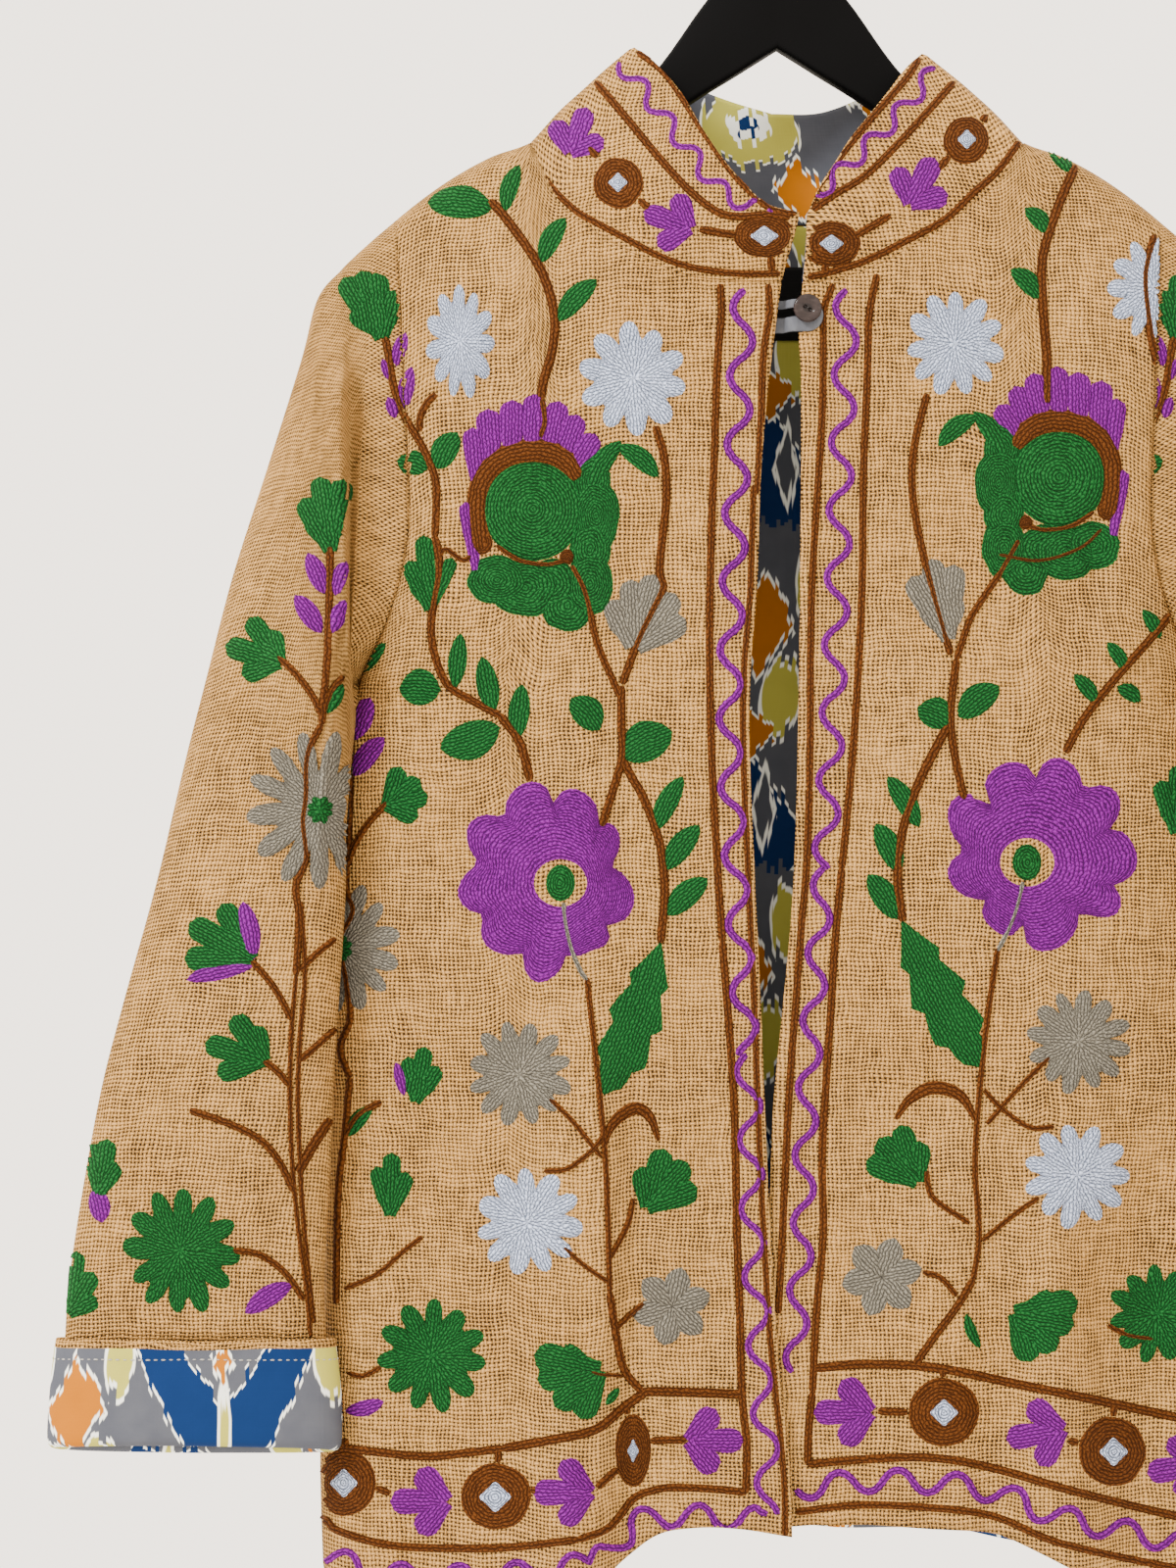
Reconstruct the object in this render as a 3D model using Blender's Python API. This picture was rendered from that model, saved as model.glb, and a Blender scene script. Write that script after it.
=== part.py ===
"""An open, hip-length embroidered jacket hanging on a flat hanger, as separate cloth pieces.

The jacket faces -Y. Its wearer's right side is at -X. The origin is the inner top of the hanger's hook,
where a rail carries it. Sizes and tables are in millimetres, and the meshes are made in metres.
"""

import math

import bmesh
import bpy
from mathutils import Vector

METRES = 0.001

# Thickness of the pieces and the space between them.
CLOTH = 2.0
LINING = 1.0
LABEL = 0.6
GAP = 0.3

# How many columns and rows each panel has.
NECK_COLUMNS = 8
SHOULDER_COLUMNS = 6
ROWS_TO_UNDERARM = 10
ROWS_BELOW = 9
COLLAR_ROWS = 3
NECK_SHARE = 0.58
ROW_CROWDING = 1.5
# Share of a panel's length over which its columns spread out from their places at the seam.
COLUMNS_SPREAD_BY = 0.5

# The body's outline. "Out" is the distance from the centre line towards either side.
NECK_POINT_OUT = 119.0
TIP_OUT = 183.0
TIP_Z = -186.0
UNDERARM_Z = -412.0
SIDE_HEM_Z = -838.0
OVER_HANGER = 10.0
FALL = 70.0
ARMHOLE_DEPTH = 17.0
ARMHOLE_CLOSE = 70.0
ACROSS_POWER = 4

# Columns: out, height of the shoulder line, which runs on over the neck.
SHOULDER = ((0, -84), (70, -121), (119, -149), (138, -156), (160, -168.5), (183, -186), (215, -215))

# Columns: height, half width of the body at the armhole seam and the side seam.
HALF_WIDTH = (
    (-838, 218.5),
    (-783, 220),
    (-720, 218.5),
    (-640, 217),
    (-560, 215),
    (-500, 213.5),
    (-460, 212),
    (-440, 209.5),
    (-425, 206.5),
    (-412, 202),
    (-382, 187),
    (-360, 179.5),
    (-332, 175.5),
    (-290, 177),
    (-230, 180),
    (-186, 183),
)

# Columns: height, how far the front and the back stand from the middle plane.
FRONT_DEPTH = ((-850, 38), (-700, 35), (-560, 34), (-412, 37), (-300, 42), (-200, 46))
BACK_DEPTH = ((-850, 36), (-700, 34), (-560, 33), (-412, 34), (-300, 38), (-200, 42))

# Columns: share from the centre front to the neck point, out, height.
NECK_SEAM = {
    -1: (
        (0, 0.5, -223),
        (0.15, 21, -222.5),
        (0.3, 42, -220),
        (0.45, 58, -214.5),
        (0.6, 74, -206.5),
        (0.75, 88, -198),
        (0.9, 106, -181),
        (1, 119, -149),
    ),
    1: (
        (0, 9.5, -224),
        (0.15, 25, -221.5),
        (0.3, 41, -216.5),
        (0.45, 57, -208),
        (0.6, 71, -199),
        (0.75, 85, -188.5),
        (0.9, 104, -172),
        (1, 119, -149),
    ),
}
BACK_NECK_SEAM = ((0, 0, -183), (0.25, 30, -181.5), (0.5, 62, -175), (0.75, 94, -163), (1, 119, -149))

# Columns: share from the collar's front end to its side, out, front distance, height.
COLLAR_TOP = {
    -1: (
        (0, -8, 43.5, -191),
        (0.15, 7, 43.5, -187),
        (0.3, 17, 42, -178),
        (0.45, 27, 37, -165),
        (0.6, 37.5, 30, -147.5),
        (0.75, 47, 21, -129),
        (0.9, 59, 10, -112),
        (1, 69, 0, -102),
    ),
    1: (
        (0, 11, 42, -192),
        (0.15, 17, 41, -179),
        (0.3, 25, 37, -166),
        (0.45, 33, 32, -153),
        (0.6, 43, 26, -140),
        (0.75, 52, 19, -128),
        (0.9, 62, 10, -114),
        (1, 70.5, 0, -105),
    ),
}

# Columns: share from the centre back to the side, out, distance behind, height.
COLLAR_BACK_TOP = {
    -1: (
        (0, 0, 38, -126),
        (0.25, 22, 36, -120),
        (0.5, 44, 29, -113),
        (0.75, 62, 16, -107),
        (1, 69, 0, -102),
    ),
    1: (
        (0, 0, 38, -126),
        (0.25, 24, 36, -126),
        (0.5, 46, 30, -119),
        (0.75, 64, 16, -111),
        (1, 70.5, 0, -105),
    ),
}
COLLAR_BELLY = 2.5

# Columns: height, X of the front edge. The right front laps over the left one below the gap.
FRONT_EDGE = {
    -1: (
        (-812, 4.8),
        (-780, 3.9),
        (-721, -2),
        (-657, -5.8),
        (-556, -9.9),
        (-497, -12.7),
        (-441, -15),
        (-403, -14.5),
        (-366, -11.7),
        (-312, -9.9),
        (-265, -5.8),
        (-223, -0.5),
    ),
    1: (
        (-812, -9),
        (-721, -7),
        (-641, -4.8),
        (-607, -3.5),
        (-570, -0.2),
        (-523, 4.4),
        (-478, 6.7),
        (-412, 8),
        (-366, 8.5),
        (-265, 8.5),
        (-247, 7.6),
        (-223, 9.5),
    ),
}
UNDERLAP = 4.4
UNDERLAP_OUT = 26.0
UNDERLAP_TOP_Z = -560.0
UNDERLAP_FADE = 90.0

# Columns: out at the hem, height of the hem.
FRONT_HEM = {
    -1: (
        (-5, -811),
        (20, -808),
        (50, -808),
        (62, -812),
        (76, -824),
        (92, -836),
        (140, -844),
        (190, -841),
        (218.5, -838),
    ),
    1: (
        (-9, -808),
        (30, -806),
        (66, -807),
        (100, -810),
        (122, -818),
        (150, -830),
        (190, -838),
        (218.5, -838),
    ),
}
BACK_HEM = ((0, -822), (80, -826), (150, -835), (218.5, -838))

# A fold rises over the first share of its length, and one that ends on the panel fades from a later share.
FOLD_RISES_BY = 0.35
FOLD_FADES_FROM = 0.65
# Columns: top out, top height, foot out, foot height, width, height of the ridge. A trough is below zero.
FRONT_FOLDS = {
    -1: (
        (96, -520, 101, -850, 20, 13),
        (74, -640, 74, -850, 8, -5),
        (146, -285, 143, -375, 6, -3.5),
        (90, -430, 92, -560, 9, 2.5),
        (150, -195, 182, -262, 10, 2.5),
        (170, -560, 168, -850, 20, -6),
        (34, -500, 30, -850, 22, -4),
    ),
    1: (
        (128, -600, 134, -850, 18, 11),
        (96, -640, 98, -850, 10, -3),
        (150, -300, 146, -400, 7, -3),
        (150, -195, 180, -262, 10, 2.5),
        (176, -560, 174, -850, 16, -5),
        (40, -520, 38, -850, 22, -4),
    ),
}
BACK_FOLDS = {
    -1: ((42, -330, 50, -850, 20, 8), (98, -420, 108, -850, 18, -6), (150, -340, 156, -850, 20, 7)),
    1: ((36, -420, 34, -850, 18, -6), (84, -340, 92, -850, 20, 8), (146, -400, 150, -850, 20, 6)),
}

# The right sleeve, from the armhole down. Its first ring is the armhole itself.
# Columns: outer edge out, outer edge height, inner edge out, inner edge height, middle plane, half depth.
SLEEVE = (
    (193, -194.5, 204.6, -414.5, -3, 28),
    (203, -203.5, 205.2, -418.5, -8, 28),
    (210, -210.5, 206, -424, -13, 28),
    (221, -224, 206.2, -431, -17, 28),
    (229, -254, 207, -441, -20, 28),
    (246, -308, 208, -453, -22, 28),
    (262, -358, 209, -466, -23, 28),
    (274.5, -407, 210, -483, -24, 27),
    (284, -446, 210, -503, -24, 26),
    (297, -504, 210.5, -536, -24, 25),
    (312, -561, 211.5, -583, -24, 24),
    (322, -602, 212, -616, -23, 22),
    (331, -652, 214, -656, -21, 21),
    (337, -694, 216, -694, -21, 20),
    (339, -722, 215, -722, -21, 19),
    (341, -746, 213, -747, -21, 18),
    (343, -768, 212, -769, -21, 18),
)
SLEEVE_BLEND_RINGS = 7
SLEEVE_OVAL_POWER = 0.9
# How far the cloth of each named ring stands out or sinks in beside the underarm.
UNDERARM_FOLD = {1: -3.0, 2: -7.0, 3: 5.0, 4: 2.5}
# Shares of a ring, from its outer to its inner edge, where that fold starts and ends.
UNDERARM_FOLD_START = (0.12, 0.45)
UNDERARM_FOLD_END = (0.85, 1)
# The sleeve's end hangs lower in front, by this much in all.
SLEEVE_TILT = 12.0
SLEEVE_TILT_HEIGHTS = (-650, -760)
# How much flatter the back of the sleeve is beside the body, at which shares, and the rings where that ends.
NEAR_BODY_FLAT = 0.5
NEAR_BODY_SHARES = (0.6, 0.95)
NEAR_BODY_RINGS = (10, 14)

# The cuff goes from inside the sleeve's end, round its edge and up the outside.
CUFF_INNER_RING = 16
CUFF_TOP_RING = 15
CUFF_CLOTH = 1.2
CUFF_BAND = 2.5
CUFF_STAND = 1.8
CUFF_TURN = 5.0

# The label, in whole columns and rows of the back.
LABEL_COLUMNS = 2
LABEL_ROWS = (2, 4)

# Button and loop.
BUTTON_X = 11.4
BUTTON_Z = -236.0
BUTTON_PROUD = 3.4
SHANK_X = 13.4
SHANK_Z = -237.2
SHANK_RADIUS = 1.3
SHANK_SIDES = 8
SHANK_INTO_BUTTON = 1.2
BUTTON_SIDES = 24
# Room left for the flat facets of a curved panel.
FACET_ROOM = 0.15
# Columns: distance from the button's middle, height above its back.
BUTTON_PROFILE = ((1.5, 0), (6.0, 0), (6.6, 0.9), (6.3, 2.1), (5.2, 2.5), (3.4, 2.2), (1.2, 1.5))
LOOP_THICK = 0.9
LOOP_LEFT_X = -7.0
LOOP_RIGHT_X = 19.0
LOOP_Z = -238.8
LOOP_HALF_HEIGHT = 7.6
LOOP_SLOT_LEFT_X = -5.6
LOOP_SLOT_RIGHT_X = 16.0
LOOP_SLOT_HALF_HEIGHT = 2.0
LOOP_STEPS = 8
LOOP_STATIONS = (-3.6, -0.2, 1.7, 3.7, 5.6, 8.5)
LOOP_ROOM = 1.9
# Where the loop crosses from behind the right front's edge to before the left one's.
LOOP_CROSSES = (-0.2, 5.6)

# Hanger. Columns: out, top edge height, lower edge height.
HANGER_ARM = (
    (0, -56, -104),
    (9, -57, -109.6),
    (20, -66, -116.5),
    (34, -81, -125),
    (57, -113, -140),
    (80, -136, -154.5),
    (100, -150, -167),
    (112, -157.5, -175),
    (124, -161.2, -182),
    (140, -164.6, -192),
    (160, -175.2, -204),
    (173, -185.2, -211),
    (180, -191.5, -208),
)
HANGER_HALF_THICK = 5.5
HANGER_EDGE = 3.0
HOOK_WIRE = 2.0
HOOK_RADIUS = 20.0
HOOK_START_DEGREES = 196
HOOK_END_DEGREES = -42
HOOK_ARC_STEPS = 20
# Columns: X, height of the hook's stem, down to the hanger.
HOOK_STEM = ((6.5, -36.5), (1.6, -41.5), (0, -47), (0, -51.5), (0, -55.6))
HOOK_SIDES = 10


def along(table, key, column=1):
    """One column of a table at a key, on a smooth curve through its rows, which rise by their key."""
    last = len(table) - 1
    if key <= table[0][0]:
        return table[0][column]
    if key >= table[last][0]:
        return table[last][column]
    row = 0
    while key > table[row + 1][0]:
        row += 1

    def slope(at):
        before = table[max(at - 1, 0)]
        after = table[min(at + 1, last)]
        return (after[column] - before[column]) / (after[0] - before[0])

    span = table[row + 1][0] - table[row][0]
    share = (key - table[row][0]) / span
    start = table[row][column]
    end = table[row + 1][column]
    ease = share * share * (3 - 2 * share)
    lead = share * (1 - share) ** 2 * span * slope(row)
    trail = share * share * (1 - share) * span * slope(row + 1)
    return start + (end - start) * ease + lead - trail


def mix(start, end, share):
    return start + (end - start) * share


def smooth_step(low, high, value):
    share = min(max((value - low) / (high - low), 0), 1)
    return share * share * (3 - 2 * share)


def quarter_round(share):
    """0 to 1 along a quarter circle that starts upright."""
    left = 1 - min(max(share, 0), 1)
    return math.sqrt(1 - left * left)


def half_width(height):
    return along(HALF_WIDTH, height)


def folds(table, out, height):
    """Height of all ridges and troughs of one table at a point of a panel."""
    total = 0.0
    for top_out, top_z, foot_out, foot_z, width, rise in table:
        down = min(max((top_z - height) / (top_z - foot_z), 0), 1)
        aside = (out - mix(top_out, foot_out, down)) / width
        length = smooth_step(0, FOLD_RISES_BY, down)
        if foot_z > SIDE_HEM_Z:
            length *= 1 - smooth_step(FOLD_FADES_FROM, 1, down)
        total += rise * length * math.exp(-aside * aside)
    return total


def panel_depth(side, out, height, is_front):
    """How far the outside of the front or back stands from the middle plane."""
    drop = max(along(SHOULDER, abs(out)) - height, 0)
    over = OVER_HANGER * quarter_round(drop / OVER_HANGER)
    hang = 1 - math.exp(-drop / FALL)
    full = along(FRONT_DEPTH if is_front else BACK_DEPTH, height)
    body = over + (full - OVER_HANGER) * hang
    close = quarter_round((height - UNDERARM_Z) / ARMHOLE_CLOSE)
    at_armhole = (over + ARMHOLE_DEPTH * hang) * close
    across = math.sqrt(max(1 - min(abs(out) / half_width(height), 1) ** ACROSS_POWER, 0))
    table = (FRONT_FOLDS if is_front else BACK_FOLDS)[side]
    creases = folds(table, out, height) * hang
    if is_front and side > 0:
        under = 1 - smooth_step(UNDERLAP_TOP_Z - UNDERLAP_FADE, UNDERLAP_TOP_Z, height)
        creases -= UNDERLAP * under * (1 - smooth_step(UNDERLAP_OUT / 2, UNDERLAP_OUT, out))
    return (body + creases) * across + at_armhole * (1 - across)


def row_share(row):
    """Share of the way down a panel's side at a row, with one row at the underarm."""
    underarm = (TIP_Z - UNDERARM_Z) / (TIP_Z - SIDE_HEM_Z)
    if row <= ROWS_TO_UNDERARM:
        return underarm * (row / ROWS_TO_UNDERARM) ** ROW_CROWDING
    return mix(underarm, 1, (row - ROWS_TO_UNDERARM) / ROWS_BELOW)


def column_place(column):
    """0 to 1 along the neck and 1 to 2 along the shoulder."""
    if column <= NECK_COLUMNS:
        return column / NECK_COLUMNS
    return 1 + (column - NECK_COLUMNS) / SHOULDER_COLUMNS


def panel_point(side, place, down, is_front):
    """A point on the outside of a front or of half the back, at a column's place and a share down."""
    neck = NECK_SEAM[side] if is_front else BACK_NECK_SEAM
    hem = FRONT_HEM[side] if is_front else BACK_HEM
    if place <= 1:
        top_out = along(neck, place, 1)
        top_z = along(neck, place, 2)
    else:
        top_out = mix(NECK_POINT_OUT, TIP_OUT, place - 1)
        top_z = along(SHOULDER, top_out)
    edge_top = side * along(FRONT_EDGE[side], neck[0][2]) if is_front else 0
    edge_foot = side * along(FRONT_EDGE[side], hem[0][1]) if is_front else 0
    edge_z = mix(neck[0][2], hem[0][1], down)
    edge = side * along(FRONT_EDGE[side], edge_z) if is_front else 0
    outer = half_width(mix(TIP_Z, SIDE_HEM_Z, down))
    share_top = (top_out - edge_top) / (TIP_OUT - edge_top)
    share_foot = place * NECK_SHARE if place <= 1 else mix(NECK_SHARE, 1, place - 1)
    share = mix(share_top, share_foot, smooth_step(0, COLUMNS_SPREAD_BY, down))
    out = mix(edge, outer, share)
    foot_z = along(hem, mix(edge_foot, half_width(SIDE_HEM_Z), share_foot))
    height = mix(top_z, foot_z, down)
    depth = panel_depth(side, out, height, is_front)
    return Vector((side * out, -depth if is_front else depth, height))


def grid_normals(grid, closed):
    """Outward normals of a grid of points, from the neighbours of each. The rings may be closed."""
    rows = len(grid)
    columns = len(grid[0])
    normals = []
    for i in range(rows):
        line = []
        for j in range(columns):
            left = (j - 1) % columns if closed else max(j - 1, 0)
            right = (j + 1) % columns if closed else min(j + 1, columns - 1)
            across = grid[i][right] - grid[i][left]
            down = grid[min(i + 1, rows - 1)][j] - grid[max(i - 1, 0)][j]
            line.append(across.cross(down).normalized())
        normals.append(line)
    return turned_out(grid, normals, closed)


def turned_out(grid, normals, closed):
    """The same normals, turned round if they point to the middle of the body or of their own ring."""
    total = 0.0
    for points, ways in zip(grid, normals):
        middle = sum(points, Vector()) / len(points) if closed else Vector((0, 0, 0))
        for point, way in zip(points, ways):
            total += way.x * (point.x - middle.x) + way.y * (point.y - middle.y)
    if total < 0:
        return [[-way for way in ways] for ways in normals]
    return normals


def moved(grid, normals, distance):
    """A grid moved out along its normals. A distance below zero moves it in."""
    return [[p + n * distance for p, n in zip(points, ways)] for points, ways in zip(grid, normals)]


def pulled(grid, first, last):
    """A copy of a grid whose top edge, and named side edges, are drawn back by half a seam's gap."""
    copy = [[point.copy() for point in line] for line in grid]
    half = GAP / 2
    for j in range(len(grid[0])):
        copy[0][j] += (grid[1][j] - grid[0][j]).normalized() * half
    for line, old in zip(copy, grid):
        if first:
            line[0] += (old[1] - old[0]).normalized() * half
        if last:
            line[-1] += (old[-2] - old[-1]).normalized() * half
    return copy


def material(name, colour, roughness, metallic=0.0):
    made = bpy.data.materials.new(name)
    made.use_nodes = True
    shader = made.node_tree.nodes["Principled BSDF"]
    shader.inputs["Base Color"].default_value = (*colour, 1)
    shader.inputs["Roughness"].default_value = roughness
    shader.inputs["Metallic"].default_value = metallic
    return made


def body_from(name, points, faces, finish, smooth=True):
    """One closed piece, from points in millimetres."""
    mesh = bpy.data.meshes.new(name)
    mesh.from_pydata([point * METRES for point in points], [], faces)
    work = bmesh.new()
    work.from_mesh(mesh)
    bmesh.ops.recalc_face_normals(work, faces=work.faces)
    bmesh.ops.triangulate(work, faces=work.faces)
    work.to_mesh(mesh)
    work.free()
    if smooth:
        mesh.shade_smooth()
    mesh.materials.append(finish)
    piece = bpy.data.objects.new(name, mesh)
    bpy.context.scene.collection.objects.link(piece)
    return piece


def wall(name, outside, inside, closed, finish):
    """A closed wall between two grids of the same size."""
    rows = len(outside)
    columns = len(outside[0])
    points = [point for line in outside for point in line]
    points += [point for line in inside for point in line]
    shift = rows * columns
    faces = []
    for i in range(rows - 1):
        for j in range(columns if closed else columns - 1):
            a = i * columns + j
            b = i * columns + (j + 1) % columns
            c = b + columns
            d = a + columns
            faces.append((a, b, c, d))
            faces.append((d + shift, c + shift, b + shift, a + shift))
    for j in range(columns if closed else columns - 1):
        after = (j + 1) % columns
        foot = (rows - 1) * columns
        faces.append((after, j, j + shift, after + shift))
        faces.append((foot + j, foot + after, foot + after + shift, foot + j + shift))
    if not closed:
        for i in range(rows - 1):
            a = i * columns
            b = a + columns
            c = b + columns - 1
            d = a + columns - 1
            faces.append((a, b, b + shift, a + shift))
            faces.append((c, d, d + shift, c + shift))
    return body_from(name, points, faces, finish)


def swept(name, sections, finish, closed_path):
    """A closed solid through closed sections, along an open path with end faces or a closed one."""
    count = len(sections)
    size = len(sections[0])
    points = [point for section in sections for point in section]
    faces = []
    for i in range(count if closed_path else count - 1):
        for j in range(size):
            a = i * size + j
            b = i * size + (j + 1) % size
            c = ((i + 1) % count) * size + (j + 1) % size
            d = ((i + 1) % count) * size + j
            faces.append((a, b, c, d))
    if not closed_path:
        faces.append(tuple(range(size)))
        faces.append(tuple((count - 1) * size + j for j in reversed(range(size))))
    return body_from(name, points, faces, finish)


def front_grid(side):
    columns = NECK_COLUMNS + SHOULDER_COLUMNS
    rows = ROWS_TO_UNDERARM + ROWS_BELOW
    return [
        [panel_point(side, column_place(j), row_share(i), True) for j in range(columns + 1)]
        for i in range(rows + 1)
    ]


def back_grid():
    """The whole back, from the wearer's left side to the right, as seen from behind the middle plane."""
    columns = NECK_COLUMNS + SHOULDER_COLUMNS
    rows = ROWS_TO_UNDERARM + ROWS_BELOW
    grid = []
    for i in range(rows + 1):
        right = [panel_point(-1, column_place(j), row_share(i), False) for j in range(columns, 0, -1)]
        left = [panel_point(1, column_place(j), row_share(i), False) for j in range(columns + 1)]
        grid.append(right + left)
    return grid


def collar_grid(fronts, back):
    """The collar's outside, from the right front end round the back to the left front end."""
    half = NECK_COLUMNS
    middle = NECK_COLUMNS + SHOULDER_COLUMNS
    seam = [fronts[-1][0][j] for j in range(half + 1)]
    seam += [back[0][middle + j] for j in range(-half + 1, half)]
    seam += [fronts[1][0][j] for j in range(half, -1, -1)]
    top = []
    for j in range(half + 1):
        out, ahead, height = (along(COLLAR_TOP[-1], j / half, c) for c in (1, 2, 3))
        top.append(Vector((-out, -ahead, height)))
    for j in range(-half + 1, half):
        side = -1 if j < 0 else 1
        out, behind, height = (along(COLLAR_BACK_TOP[side], abs(j) / half, c) for c in (1, 2, 3))
        top.append(Vector((side * out, behind, height)))
    for j in range(half, -1, -1):
        out, ahead, height = (along(COLLAR_TOP[1], j / half, c) for c in (1, 2, 3))
        top.append(Vector((out, -ahead, height)))
    grid = []
    for i in range(COLLAR_ROWS + 1):
        share = i / COLLAR_ROWS
        line = []
        for low, high in zip(seam, top):
            point = low.lerp(high, share)
            outward = Vector((point.x, point.y, 0)).normalized()
            line.append(point + outward * COLLAR_BELLY * math.sin(math.pi * share))
        grid.append(line)
    return grid


def join_seams(fronts, back, front_ways, back_ways, collar_ways):
    """Makes pieces that meet at a seam lean the same way there, so their rims stay parallel."""
    half = NECK_COLUMNS
    columns = NECK_COLUMNS + SHOULDER_COLUMNS
    rows = ROWS_TO_UNDERARM + ROWS_BELOW
    collar_last = 4 * half
    for side in (-1, 1):
        ways = front_ways[side]
        fall = along(SHOULDER, NECK_POINT_OUT) - TIP_Z
        shared = Vector((side * fall, 0, TIP_OUT - NECK_POINT_OUT)).normalized()
        for j in range(half, columns + 1):
            ways[0][j] = shared
            back_ways[0][columns + side * j] = shared
        for j in range(half + 1):
            at_collar = j if side < 0 else collar_last - j
            ways[0][j] = (ways[0][j] + collar_ways[0][at_collar]).normalized()
            collar_ways[0][at_collar] = ways[0][j]
        back_ways[0][columns + side * half] = ways[0][half]
        for j in range(half):
            at_collar = 2 * half + side * j
            joined = (back_ways[0][columns + side * j] + collar_ways[0][at_collar]).normalized()
            back_ways[0][columns + side * j] = joined
            collar_ways[0][at_collar] = joined
        for i in range(1, rows + 1):
            last = columns + side * columns
            if i < ROWS_TO_UNDERARM:
                here = fronts[side][i][columns]
                before = fronts[side][i - 1][columns]
                after = fronts[side][i + 1][columns]
                along_seam = after - before
                across = Vector((0, -along_seam.z, along_seam.y)).normalized()
                if across.y * here.y < 0:
                    across = -across
                ways[i][columns] = across
                back_ways[i][last] = Vector((0, -across.y, across.z))
            elif i == ROWS_TO_UNDERARM:
                corner = Vector((side, 0, -1)).normalized()
                ways[i][columns] = corner
                back_ways[i][last] = corner
            else:
                ways[i][columns] = Vector((side, 0, 0))
                back_ways[i][last] = Vector((side, 0, 0))


def sleeve_grid(side, front, back):
    """Rings of one sleeve from the armhole to its end, outside face, front first."""
    columns = NECK_COLUMNS + SHOULDER_COLUMNS
    last = columns + side * columns
    reach = ROWS_TO_UNDERARM
    seam = [front[i][columns] for i in range(reach + 1)]
    seam += [back[i][last] for i in range(reach - 1, 0, -1)]
    count = len(seam)
    first = [Vector((point.x, point.y, point.z)) for point in seam]
    first[0].y = 0
    first[reach].y = 0
    grid = [first]
    for ring, (out_x, out_z, in_x, in_z, middle, half) in enumerate(SLEEVE, start=1):
        blend = smooth_step(0, SLEEVE_BLEND_RINGS, ring)
        line = []
        for m in range(count):
            step = m if m <= reach else 2 * reach - m
            at_seam = (step / reach) ** ROW_CROWDING
            at_oval = (1 - math.cos(math.pi * step / reach)) / 2
            share = mix(at_seam, at_oval, blend)
            face = -1 if 0 < m < reach else (0 if m in (0, reach) else 1)
            oval = math.sin(math.pi * step / reach) ** SLEEVE_OVAL_POWER if 0 < step < reach else 0
            depth = mix(abs(seam[m].y), half * oval, blend)
            window = smooth_step(*UNDERARM_FOLD_START, share) * (1 - smooth_step(*UNDERARM_FOLD_END, share))
            depth += UNDERARM_FOLD.get(ring, 0) * window
            height = mix(out_z, in_z, share)
            tilt = smooth_step(*SLEEVE_TILT_HEIGHTS, height)
            forward = mix(share, 1, smooth_step(SLEEVE_BLEND_RINGS, 2 * SLEEVE_BLEND_RINGS, ring))
            if face > 0:
                near = smooth_step(*NEAR_BODY_SHARES, share) * (1 - smooth_step(*NEAR_BODY_RINGS, ring))
                depth *= 1 - NEAR_BODY_FLAT * near
            y = middle * forward + face * depth
            height -= SLEEVE_TILT * tilt * (y - middle) / (2 * half)
            line.append(Vector((side * mix(out_x, in_x, share), y, height)))
        grid.append(line)
    return grid


def sleeve_ways(side, grid, front_way, back_way):
    """Normals of a sleeve's rings, with those of the armhole taken from the body."""
    columns = NECK_COLUMNS + SHOULDER_COLUMNS
    last = columns + side * columns
    reach = ROWS_TO_UNDERARM
    ways = grid_normals(grid, True)
    ways[0] = [front_way[i][columns] for i in range(reach + 1)]
    ways[0] += [back_way[i][last] for i in range(reach - 1, 0, -1)]
    ways[0][0] = Vector((0, 0, 1))
    front_way[0][columns] = Vector((0, 0, 1))
    back_way[0][last] = Vector((0, 0, 1))
    return ways


def make_cuff(side, grid, ways, finish):
    """The turned-back end: up inside the sleeve, round its edge and up the outside."""
    end = len(grid) - 1
    outer_face = CUFF_STAND + CUFF_BAND
    inner_face = -(CLOTH + GAP)
    legs = [(ring, outer_face) for ring in range(CUFF_TOP_RING, end + 1)]
    legs += [(ring, inner_face - CUFF_CLOTH) for ring in range(end, CUFF_INNER_RING - 1, -1)]
    legs += [(ring, inner_face) for ring in range(CUFF_INNER_RING, end + 1)]
    legs += [(ring, CUFF_STAND) for ring in range(end, CUFF_TOP_RING - 1, -1)]
    bottom_outer = len(range(CUFF_TOP_RING, end + 1))
    bottom_inner = bottom_outer + 2 * len(range(CUFF_INNER_RING, end + 1))
    sections = []
    for m in range(len(grid[0])):
        fall = (grid[end][m] - grid[end - 1][m]).normalized()
        section = [grid[ring][m] + ways[ring][m] * distance for ring, distance in legs]
        end_way = ways[end][m]
        turn = grid[end][m] + fall * CUFF_TURN + end_way * (outer_face + inner_face) / 2
        under = grid[end][m] + fall * (CUFF_TURN - CUFF_BAND) + end_way * (CUFF_STAND + inner_face) / 2
        section.insert(bottom_inner, under)
        section.insert(bottom_outer, turn)
        sections.append(section)
    return swept("cuff_right" if side < 0 else "cuff_left", sections, finish, True)


def face_height(side, x, z):
    """Y of the outside of a front at a point."""
    return -panel_depth(side, side * x, z, True)


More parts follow.
